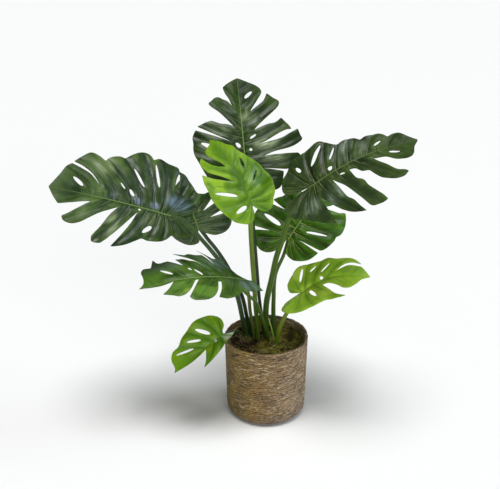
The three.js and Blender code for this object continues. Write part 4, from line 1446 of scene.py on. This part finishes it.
class MONSTERA_OT_stems(bpy.types.Operator):
    """Makes the stems, the old stalk and the young sheath along their paths"""
    bl_idname = "monstera.stems"
    bl_label = "Stems"

    def execute(self, context):
        settings = context.scene.monstera_stems
        step = settings.step / MM
        tree = stem_tree()
        runs = {name: stem_points(name, stem, step) for name, stem in STEMS.items()}
        runs["young_sheath"] = sheath_points(step)
        for name, (path, radii) in runs.items():
            start = path_curve(name, [([p * MM for p in path], [r * MM for r in radii])])
            material = stem_material(name.replace("_", " ") + " skin", STEM_LOOKS[name])
            piece = grown(name + "_skin", start, tree, {
                "Sides": settings.sides, "Channel": settings.channel, "Material": material})
            placed(piece, "stem_bright" if name in BRIGHT_STEMS else "stem_dark", name)
        return {"FINISHED"}


# Basket


def wound_cord(board, path, given):
    """A cord of two twisted strands and uneven straws, wide across the wall and high up it"""
    parameter = board.node("GeometryNodeSplineParameter")
    path = board.upright(board.kept(path, "along", parameter["Length"]))
    section = board.oval(given["Sides"], given["Wide"], given["High"])
    cord = board.swept(path, board.kept(section, "around", parameter["Factor"]))
    turn = board.recalled("around") * 2.0 + board.recalled("along") / given["Lay"]
    lumps = board.grain(board.position(), 130.0, 2.0) - 0.5
    move = (turn * math.tau).calc("COSINE") * (CORD_RELIEF * MM) + lumps * (CORD_LUMPS * MM)
    normal = board.node("GeometryNodeInputNormal")
    return board.moved(cord, Offset=normal.aim("MULTIPLY", board.xyz(move, move, move)))


def wall_tree():
    """A cord wound from the flat underside round the foot and up the wall, with some wander"""
    board, given = new_tree(
        "Wound cord wall", "Steps Sides", "Turns Foot Top Height Wide High Round Lay Wander")
    coil = board.spiral(given, 1.0, 1.0)
    climb = board.node("GeometryNodeSplineParameter")["Factor"]
    spot = board.position()
    # The cord first goes round the foot, on an arc of the radius bend, and then straight up.
    bend = given["Round"] - given["High"]
    quarter = bend * (math.pi / 2)
    run = climb * (quarter + (given["Height"] - (given["Round"] + given["High"])))
    turn = (run / bend).calc("MINIMUM", math.pi / 2)
    past = (run - quarter).calc("MAXIMUM", 0.0)
    drift = board.grain(spot.aim("ADD", board.xyz(z=climb * 9.0)), 3.6, 2.0) - 0.5
    slip = board.grain(spot.aim("ADD", board.xyz(5.0, 3.0, climb * 29.0)), 5.0, 2.0) - 0.5
    low = given["High"] + FOOT_LIFT * MM + bend - bend * turn.calc("COSINE")
    height = low + past + slip * (given["Wander"] * turn.calc("SINE"))
    lean = (given["Top"] - given["Foot"]) * (height / given["Height"])
    inset = bend * (1.0 - turn.calc("SINE"))
    radius = given["Foot"] + lean - inset + drift * given["Wander"]
    path = board.moved(coil, Position=board.wrapped(spot, radius, height))
    return board.ended(board.joined(given["Geometry"], wound_cord(board, path, given)), given)


def base_tree():
    """A flat coil of the same cord under the basket's floor"""
    board, given = new_tree(
        "Coiled cord base", "Steps Sides", "Turns Start End Level Wide High Lay")
    spiral = board.spiral(given, given["Start"], given["End"])
    path = board.moved(spiral, Offset=board.xyz(z=given["Level"]))
    return board.ended(wound_cord(board, path, given), given)


def straw_tree():
    """Flat straws that lie along the wall, each bent to it and slightly askew"""
    board, given = new_tree("Loose straws", "Count Seed", "Wall Lean Height Length Width")
    seed = given["Seed"]
    turn = board.chance(0.0, math.tau, seed)
    level = board.chance(0.0, 1.0, seed + 1)
    out = board.ring(turn)
    onward = board.xyz(turn.calc("SINE") * -1.0, turn.calc("COSINE"))
    radius = given["Wall"] + level * given["Lean"] + board.chance(-0.0007, 0.0003, seed + 2)
    up = STRAW_LOW * MM + level * (given["Height"] - (STRAW_LOW + STRAW_TOP_GAP) * MM)
    points = board.node("GeometryNodePoints", {"Count": given["Count"]})
    points = board.moved(points, Position=board.wrapped(out, radius, up))
    points = board.kept(points, "tone", board.chance(0.0, 1.0, seed + 3))
    facing = board.node("FunctionNodeAlignRotationToVector", {"Vector": out}, axis="Z")
    along = board.node("FunctionNodeAlignRotationToVector", {
        "Rotation": facing, "Vector": onward}, axis="X", pivot_axis="Z")
    askew = board.rotation(0.0, 0.0, board.chance(-0.35, 0.35, seed + 4))
    facing = board.node("FunctionNodeRotateRotation", {
        "Rotation": along, "Rotate By": askew}, rotation_space="LOCAL")
    line = board.arc(board.xyz(given["Length"] * -0.5), board.xyz(given["Length"] * 0.5))
    run = board.split(board.position())[0]
    sag = run ** 2.0 / (given["Wall"] * -2.0)
    waver = (run * 160.0).calc("SINE") * 0.0006
    line = board.upright(board.moved(line, Offset=board.xyz(0.0, waver, sag)))
    straw = board.swept(line, board.oval(5, given["Width"], given["Width"] * 0.45))
    scale = board.xyz(board.chance(0.5, 1.3, seed + 5), board.chance(0.6, 1.4, seed + 6), 1.0)
    return board.ended(board.scattered(points, straw, facing, scale), given)


def rim_tree():
    """Round strands along paths whose points hold their radius"""
    board, given = new_tree("Rim strands", "Seed", "")
    path = board.kept(given["Geometry"], "tone", board.chance(0.5, 1.0, given["Seed"]))
    return board.ended(board.swept(path, board.circle(5), Scale=board.own_radius()), given)


def cord_material(settings):
    """Twisted dry grass: fibres that follow the twist, pale straws, painted shade in the gaps and
    on the inner wall, and painted glints
    """
    board, place = new_material("Twisted grass cord")
    cord, shade, straw = settings.cord_colour, settings.shade_colour, settings.straw_colour
    along, around = board.attribute("along"), board.attribute("around")
    turn = (around * 2.0 + along / settings.lay) * math.tau
    spin = around * math.tau
    x, _, z = (board.split(place)[i] for i in range(3))
    fibres = board.grain(board.ring(turn, along * 60.0), 3.0, 5.0, 0.7)
    dashes = board.grain(board.xyz(along * 130.0, spin.calc("COSINE")), 1.0, 4.0, 0.6)
    # Painted glints: whitish highlights, gathered right of the middle
    painted_glints = board.grain(board.xyz(along * 110.0, spin.calc("SINE"), 7.0), 1.0, 2.0, 0.5)
    patches = board.grain(place, 22.0)
    specks = board.grain(place, 620.0, 3.0, 0.7)
    ripples = board.grain(place.aim("MULTIPLY", (1.0, 1.0, 9.0)), 60.0, 3.0, 0.6)
    drift = x + (patches - 0.5) * 0.09
    tone = fibres * 0.8 + dashes * 1.1
    # Painted shade in the twist between the two strands and in the gaps between the turns
    strand = abs((turn * 0.5).calc("COSINE"))
    crevice = abs(spin.calc("SINE"))
    # Painted shade on the inner wall and the lining, a little lighter towards +x
    from_axis = place.aim("MULTIPLY", (1.0, 1.0, 0.0)).aim("LENGTH")[1]
    inner = from_axis.fade(0.0925, 0.0958, 0.8, 0.0) * z.fade(0.12, 0.15)
    lighter = coated("#6e4426", (x.fade(-0.05, 0.05), "#b8a474"))
    painted_inner_shade = coated("#2b2012", (ripples.fade(0.38, 0.66), lighter))
    # The cord's own colour, olive to pinker towards +x, under painted glints, dark fibres and
    # dashes that are partly painted shade in the twist, painted shade in the gaps, a darker colour
    # towards the bottom, and the inner wall's painted shade
    shown = coated(
        "#ac902a", (drift.fade(-0.08, 0.0), cord), (drift.fade(0.0, 0.08), "#c4ad90"),
        (tone.fade(0.74, 1.0, 0.85, 0.0), shade), (tone.fade(1.0, 1.25, 0.0, 0.75), straw),
        (painted_glints.fade(0.57, 0.7) * drift.fade(-0.04, 0.05, 0.08, 0.95), "#efe6d2"),
        (patches.fade(0.5, 0.64, 0.0, 0.5), shade),
        (patches.fade(0.5, 0.34, 0.0, 0.3), "#8f5a32"),
        (specks.fade(0.35, 0.65, 0.25, 0.0), shade), (strand.fade(0.0, 0.35, 0.5, 0.0), shade),
        (crevice.fade(0.6, 1.0, 0.0, 0.6), shade), (z.fade(0.004, 0.045, 0.6, 0.0), "#584a3e"),
        (inner, painted_inner_shade))
    return board.finished(
        shown, rough=0.5 + fibres * 0.4, relief=fibres + dashes, depth=1.4 * MM, gloss=0.4,
        fuzz=0.1)


def straw_material(settings):
    """Dry flat straws, from dark brown to pale"""
    board, place = new_material("Loose dry straw")
    gathered = board.grain(place, 26.0, 2.0)
    tone = board.attribute("tone") * gathered.fade(0.42, 0.6, 0.78, 1.06)
    lengthwise = board.grain(place.aim("MULTIPLY", (1.0, 1.0, 6.0)), 160.0)
    body = coated(
        settings.shade_colour, (tone.fade(0.0, 0.45), settings.cord_colour),
        (tone.fade(0.7, 1.0), settings.straw_colour),
        (lengthwise.fade(0.35, 0.75, 0.0, 0.5), "#6b543a"))
    return board.finished(
        body, rough=0.42 + lengthwise * 0.35, relief=lengthwise, depth=0.3 * MM)


def rim_curve(height):
    """Paths of long loose strands that lie inside the wall, under the rim"""
    runs = []
    radii = [RIM_STRAND_RADIUS * MM * math.sqrt(
        max(0.05, math.sin(math.pi * (i + 1) / (RIM_POINTS + 2)))) for i in range(RIM_POINTS + 1)]
    for k in range(RIM_STRANDS):
        start = math.radians(-60 + 300 * k / RIM_STRANDS)
        reach = 0.5 + 0.35 * math.sin(2.4 * k)
        level = height - RIM_GAP - RIM_BAND * (0.5 + 0.5 * math.sin(1.7 * k + 1))
        places = []
        for i in range(RIM_POINTS + 1):
            turn = start + reach * i / RIM_POINTS
            sag = RIM_SAG * math.sin(math.pi * i / RIM_POINTS)
            places.append(spun(RIM_RADIUS + RIM_SWING * math.sin(9 * turn + k), turn,
                               level + RIM_WAVER * math.sin(5 * turn + 2.1 * k) - sag))
        runs.append((places, radii))
    return path_curve("rim_strands", runs)


def lining_mesh(height):
    """A thin shell inside the turns of cord, so that none shows through; the cord material paints
    it dark, a painted shade inside the basket
    """
    inner = [(LINING_RADIUS - LINING_ROUND + LINING_ROUND * math.cos(turn),
              LINING_FLOOR + LINING_ROUND - LINING_ROUND * math.sin(turn))
             for turn in (math.pi / 2 * i / 4 for i in range(5))]
    outer = [(radius + LINING_OUT, z - LINING_DOWN) for radius, z in inner]
    top = [(radius, height - LINING_TOP_GAP) for radius in LINING_TOP]
    profile = [*reversed(inner), *top, *outer]
    rings = [[spun(radius, math.tau * i / LINING_SIDES, z) for i in range(LINING_SIDES)]
             for radius, z in profile]
    return ring_mesh("basket_lining", rings, spun(0, 0, LINING_FLOOR), spun(0, 0, outer[-1][1]))


class MONSTERA_OT_basket(bpy.types.Operator):
    """Winds the basket's wall and base from cord and lays loose straws on it"""
    bl_idname = "monstera.basket"
    bl_label = "Basket"

    def execute(self, context):
        basket = context.scene.monstera_basket
        cord = cord_material(basket)
        bend = math.pi / 2 * (FOOT_ROUND - FOOT_LAP) * MM
        high = (bend + basket.height - FOOT_ROUND * MM) / basket.turns / 2 * CORD_OVERLAP
        wide = CORD_WIDE * MM
        wall = grown("basket_wall", lining_mesh(basket.height / MM), wall_tree(), {
            "Turns": float(basket.turns), "Steps": WALL_STEPS, "Sides": WALL_SIDES,
            "Foot": basket.foot_radius - wide * CORD_INSET,
            "Top": basket.top_radius - wide * CORD_INSET,
            "Height": basket.height, "Wide": wide, "High": high, "Round": FOOT_ROUND * MM,
            "Lay": basket.lay, "Wander": WANDER * MM, "Material": cord})
        base = grown("basket_base", bpy.data.meshes.new("basket_base_start"), base_tree(), {
            "Turns": BASE_TURNS, "Steps": BASE_STEPS, "Sides": BASE_SIDES,
            "Start": BASE_START * MM, "End": BASE_END * MM, "Level": (BASE_HIGH + BASE_GAP) * MM,
            "Wide": BASE_WIDE * MM, "High": BASE_HIGH * MM, "Lay": basket.lay,
            "Material": cord})
        straws = grown("basket_straws", bpy.data.meshes.new("basket_straws_start"), straw_tree(), {
            "Count": basket.straws, "Wall": basket.foot_radius,
            "Lean": basket.top_radius - basket.foot_radius, "Height": basket.height,
            "Length": STRAW_LENGTH * MM, "Width": STRAW_WIDTH * MM, "Seed": 7,
            "Material": straw_material(basket)})
        strands = grown("rim_strands", rim_curve(basket.height / MM), rim_tree(), {
            "Seed": 3, "Material": strand_material()})
        for piece in (wall, base):
            placed(piece, "basket_cord", "basket")
        for piece in (straws, strands):
            placed(piece, "basket_cord")
        return {"FINISHED"}


# Soil and moss


def bed_mesh():
    """The moss layer's lumpy top and its plain sides and underside"""
    rings, relief = [], []
    wave_height, pace_x, pace_y = MOSS_WAVE
    for r in range(1, MOSS_RINGS + 1):
        radius = MOSS_RADIUS * r / MOSS_RINGS
        if radius < MOSS_BANK_RADIUS:
            share = (radius - MOSS_MIDDLE_RADIUS) / (MOSS_BANK_RADIUS - MOSS_MIDDLE_RADIUS)
            level = MOSS_MIDDLE + max(share, 0) * (MOSS_BANK - MOSS_MIDDLE)
        else:
            share = (radius - MOSS_BANK_RADIUS) / (MOSS_RADIUS - MOSS_BANK_RADIUS)
            level = MOSS_BANK + share * (MOSS_EDGE - MOSS_BANK)
        ring = []
        for i in range(MOSS_SIDES):
            turn = math.tau * i / MOSS_SIDES
            x, y = radius * math.cos(turn), radius * math.sin(turn)
            spot = Vector((x, y, 0))
            lump = sum(high * noise.noise(spot / wide + LUMP_SHIFT * times)
                       for high, wide, times in LUMPS)
            relief.append(lump)
            wave = wave_height * math.sin(x / pace_x) * math.cos(y / pace_y)
            ring.append((x * MM, y * MM, (level + (wave + lump)) * MM))
        rings.append(ring)
    rings.append([(x, y, MOSS_LOW.z) for x, y, _ in rings[-1]])
    mesh = ring_mesh("moss_bed", rings, (0, 0, MOSS_MIDDLE * MM), (0, 0, MOSS_LOW.z))
    relief += [0] * (len(mesh.vertices) - len(relief))
    mesh.attributes.new("relief", "FLOAT", "POINT").data.foreach_set("value", relief)
    mesh.shade_smooth()
    return mesh


def drawn_in(board, geometry, reach):
    """The geometry drawn back to a radius, and pressed down where it stands up too far"""
    spot = board.position()
    flat = spot.aim("MULTIPLY", (1.0, 1.0, 0.0))
    away = flat.aim("LENGTH")[1].calc("MAXIMUM", 0.0001)
    share = (reach / away).calc("MINIMUM", 1.0)
    high = board.split(spot)[2]
    level = high - (high - FIBRE_TOP * MM).calc("MAXIMUM", 0.0) * PRESSED
    return board.moved(board.real(geometry), Position=board.wrapped(flat, share, level))


def top_points(board, given, least):
    """Random points on the bed's top, each with its own tone from least to 1"""
    top = board.node("FunctionNodeCompare", {
        0: board.split(board.position())[2], 1: given["Floor"]}, data_type="FLOAT",
        operation="GREATER_THAN")
    spread = board.node("GeometryNodeDistributePointsOnFaces", {
        "Mesh": given["Geometry"], "Selection": top, "Density": given["Density"],
        "Seed": given["Seed"]})
    return board.kept(spread["Points"], "tone", board.chance(least, 1.0, given["Seed"] + 1))


def fibre_tree(name, with_bed):
    """Curled fibres spread over the bed's top"""
    board, given = new_tree(name, "Seed", "Density Length Thickness Floor Reach")
    long = given["Length"]
    share = board.split(board.position())[2] / long
    lean = abs(share) ** 1.6 * (long * 0.75)
    drop = abs(share) ** 2.0 * (long * -0.62)
    curl = (share * 5.0).calc("SINE") * (long * 0.14)
    arc = board.moved(board.arc((0.0, 0.0, -0.0008), board.xyz(z=long)),
                      Offset=board.xyz(lean, curl, drop))
    fibre = board.swept(arc, board.circle(3, given["Thickness"]))
    lie = board.tumble(given["Seed"], (-0.55, 0.55), (-0.3, 1.1), (0.0, math.tau))
    scale = board.chance(0.45, 1.25, given["Seed"] + 5)
    parts = [board.scattered(top_points(board, given, 0.1), fibre, lie, scale)]
    if with_bed:
        parts.append(given["Geometry"])
    return board.ended(drawn_in(board, board.joined(*parts), given["Reach"]), given)


def chip_tree():
    """Small rough chips that lie on the moss"""
    board, given = new_tree("Bark chips", "Seed", "Density Size Floor Reach")
    chip = board.node("GeometryNodeMeshIcoSphere", {
        "Radius": given["Size"], "Subdivisions": 2})["Mesh"]
    rough = board.grain(board.position(), 420.0, 2.0, 0.5)[1].aim("SUBTRACT", (0.5, 0.5, 0.5))
    chip = board.moved(chip, Offset=rough.aim("MULTIPLY", (0.003, 0.003, 0.002)))
    lie = board.tumble(given["Seed"], (-0.4, 0.4), (-0.4, 0.4), (0.0, math.tau))
    scale = board.xyz(board.chance(0.7, 1.8, given["Seed"] + 5),
                      board.chance(0.5, 1.0, given["Seed"] + 6), 0.45)
    chips = board.scattered(top_points(board, given, 0.0), chip, lie, scale)
    return board.ended(drawn_in(board, chips, given["Reach"]), given)


def moss_material(settings):
    """Olive moss in patches, with dark soil between them and painted shadows near the stems"""
    board, place = new_material("Dry olive moss")
    tone = board.attribute("tone")
    patches = board.grain(place, 34.0, 4.0, 0.6)
    crumbs = board.grain(place, 170.0, 5.0, 0.7)
    pits = board.grain(place.aim("ADD", (0.3, 0.1, 0.2)), 30.0, 3.0, 0.6)
    green = (patches + board.split(place)[0].fade(-0.07, 0.05, -0.14, 0.15)).fade(0.42, 0.54)
    living = coated("#1c1c07", (crumbs.fade(0.34, 0.56), settings.moss_colour),
                    (tone.fade(0.35, 1.0, 0.0, 0.9), "#c4b85c"))
    dull = coated(settings.soil_colour, (crumbs.fade(0.4, 0.62), "#6a4226"),
                  (tone.fade(0.55, 1.0, 0.0, 0.8), "#8c7c48"))
    shown = coated(dull, (green, living), (pits.fade(0.53, 0.62, 0.0, 0.8), "#120c06"))
    flat = place.aim("MULTIPLY", (1.0, 1.0, 0.0))
    # Painted shadows near the feet of the stems
    for x, y, radius in PAINTED_MOSS_SHADOWS:
        away = flat.aim("DISTANCE", (x * MM, y * MM, 0.0))[1] + (pits - 0.5) * 0.03
        shown = coated(shown, (away.fade(0.4 * radius * MM, radius * MM, 0.8, 0.0), "#17140a"))
    hollow = board.attribute("relief").fade(-1.6, 0.6, 0.9, 0.0)
    return board.finished(
        coated(shown, (hollow, settings.soil_colour)), rough=0.7 + crumbs * 0.3, relief=crumbs,
        depth=3 * MM, gloss=0.25)


def strand_material():
    """Long dry strands, from olive to pale straw"""
    board, place = new_material("Pale dry strand")
    spots = board.grain(place, 240.0)
    body = coated("#5d5a22", (board.attribute("tone"), "#c2b27c"),
                  (spots.fade(0.45, 0.7, 0.0, 0.6), "#4a3a1c"))
    return board.finished(body, rough=0.5 + spots * 0.3)


def soil_material(settings, name, warm):
    """Dark crumbs of peat and bark"""
    board, place = new_material(name)
    crumbs = board.grain(place, 260.0, 5.0, 0.7)
    body = coated(settings.soil_colour, (crumbs, warm),
                  (board.attribute("tone").fade(0.75, 1.0, 0.0, 0.7), "#7a5b3c"))
    return board.finished(body, rough=0.88, relief=crumbs, depth=1.4 * MM)


class MONSTERA_OT_filling(bpy.types.Operator):
    """Covers the soil with moss, fibres and chips of bark"""
    bl_idname = "monstera.filling"
    bl_label = "Soil and moss"

    def execute(self, context):
        filling = context.scene.monstera_filling
        area = math.pi * (MOSS_RADIUS * MM) ** 2
        bed = bed_mesh()

        def sown(name, tree, count, **values):
            """A piece made of so many things sown on the bed"""
            return grown(name, bed, tree, {
                "Density": count / area, "Floor": MOSS_FLOOR * MM, "Reach": MOSS_REACH * MM,
                **values})

        moss = sown("moss_cover", fibre_tree("Moss fibres", True), filling.fibres, Seed=11,
                    Length=filling.fibre_length, Thickness=FIBRE_THICKNESS * MM,
                    Material=moss_material(filling))
        chips = sown("bark_chips", chip_tree(), filling.chips, Seed=23, Size=CHIP_SIZE * MM,
                     Material=soil_material(filling, "Bark chips", "#6a3f26"))
        strands = sown("pale_strands", fibre_tree("Pale strands", False), filling.strands,
                       Seed=41, Length=STRAND_LENGTH * MM, Thickness=STRAND_THICKNESS * MM,
                       Material=strand_material())
        placed(strands, "moss")
        placed(moss, "moss", "moss")
        placed(chips, "soil")
        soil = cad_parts["soil"]
        peat = soil_material(filling, "Dark peat", "#3b2718")
        if not soil.data.materials:
            soil.data.materials.append(peat)
        for held in soil.material_slots:
            held.link = "OBJECT"
            held.material = peat
        return {"FINISHED"}


# Stage


def soft_light(name, place, spread, power, tint):
    """An even light from one side, as from a panel as wide as spread, in degrees"""
    data = bpy.data.lights.new(name, "SUN")
    data.angle = math.radians(spread)
    data.energy = power
    data.color = tint
    light = linked(name, data)
    light.location = place
    light.rotation_euler = Vector(place).to_track_quat("Z", "Y").to_euler()


class MONSTERA_OT_stage(bpy.types.Operator):
    """Makes the floor, the soft light and the camera"""
    bl_idname = "monstera.stage"
    bl_label = "Floor, light and camera"

    def execute(self, context):
        scene = context.scene
        stage = scene.monstera_stage
        side = stage.floor_size / 2
        board, place = new_material("Pale floor")
        tint = coated(stage.floor_colour, (board.grain(place, 0.6, 2.0) * 0.03, "#e4e4e2"))
        corners = [(-side, -side, 0), (side, -side, 0), (side, side, 0), (-side, side, 0)]
        ground = plain_mesh("floor", corners, [(0, 1, 2, 3)])
        ground.materials.append(board.finished(tint, rough=0.8))
        linked("floor", ground)
        scene.world = bpy.data.worlds.new("Even white surroundings")
        scene.world.use_nodes = True
        sky = scene.world.node_tree.nodes["Background"].inputs
        sky["Color"].default_value = (1, 1, 1, 1)
        sky["Strength"].default_value = stage.sky_strength
        for name, place, spread, share, tint in LIGHTS:
            soft_light(name, place, spread, stage.key_power * share, tint)
        scene.view_settings.view_transform = "Standard"
        data = bpy.data.cameras.new("camera")
        data.sensor_width = CAMERA_SENSOR
        data.lens = CAMERA_LENS
        data.clip_end = CAMERA_REACH
        scene.camera = linked("camera", data)
        scene.camera.location = CAMERA_PLACE
        scene.camera.rotation_euler = (CAMERA_TILT, 0, 0)
        return {"FINISHED"}


# Each group of settings, and the step that uses it, in the order of building
STEPS = {
    "monstera_basket": (BasketSettings, MONSTERA_OT_basket),
    "monstera_filling": (FillingSettings, MONSTERA_OT_filling),
    "monstera_leaves": (LeafSettings, MONSTERA_OT_leaves),
    "monstera_stems": (StemSettings, MONSTERA_OT_stems),
    "monstera_stage": (StageSettings, MONSTERA_OT_stage),
}


class MONSTERA_PT_panel(bpy.types.Panel):
    """Settings and steps of the potted monstera"""
    bl_idname = "MONSTERA_PT_panel"
    bl_label = "Potted monstera"
    bl_space_type = "VIEW_3D"
    bl_region_type = "UI"
    bl_category = "Monstera"

    def draw(self, context):
        for key in STEPS:
            box = self.layout.box()
            group = getattr(context.scene, key)
            for item in group.bl_rna.properties:
                if item.identifier not in ("rna_type", "name"):
                    box.prop(group, item.identifier)
            box.operator(key.replace("_", "."))


CLASSES = [*(item for pair in STEPS.values() for item in pair), MONSTERA_PT_panel]


def register():
    for item in CLASSES:
        bpy.utils.register_class(item)
    for key, (group, _) in STEPS.items():
        setattr(bpy.types.Scene, key, PointerProperty(type=group))


def unregister():
    for key in STEPS:
        delattr(bpy.types.Scene, key)
    for item in reversed(CLASSES):
        bpy.utils.unregister_class(item)


def main():
    register()
    for key in STEPS:
        getattr(bpy.ops.monstera, key.removeprefix("monstera_"))()


if __name__ == "__main__":
    main()
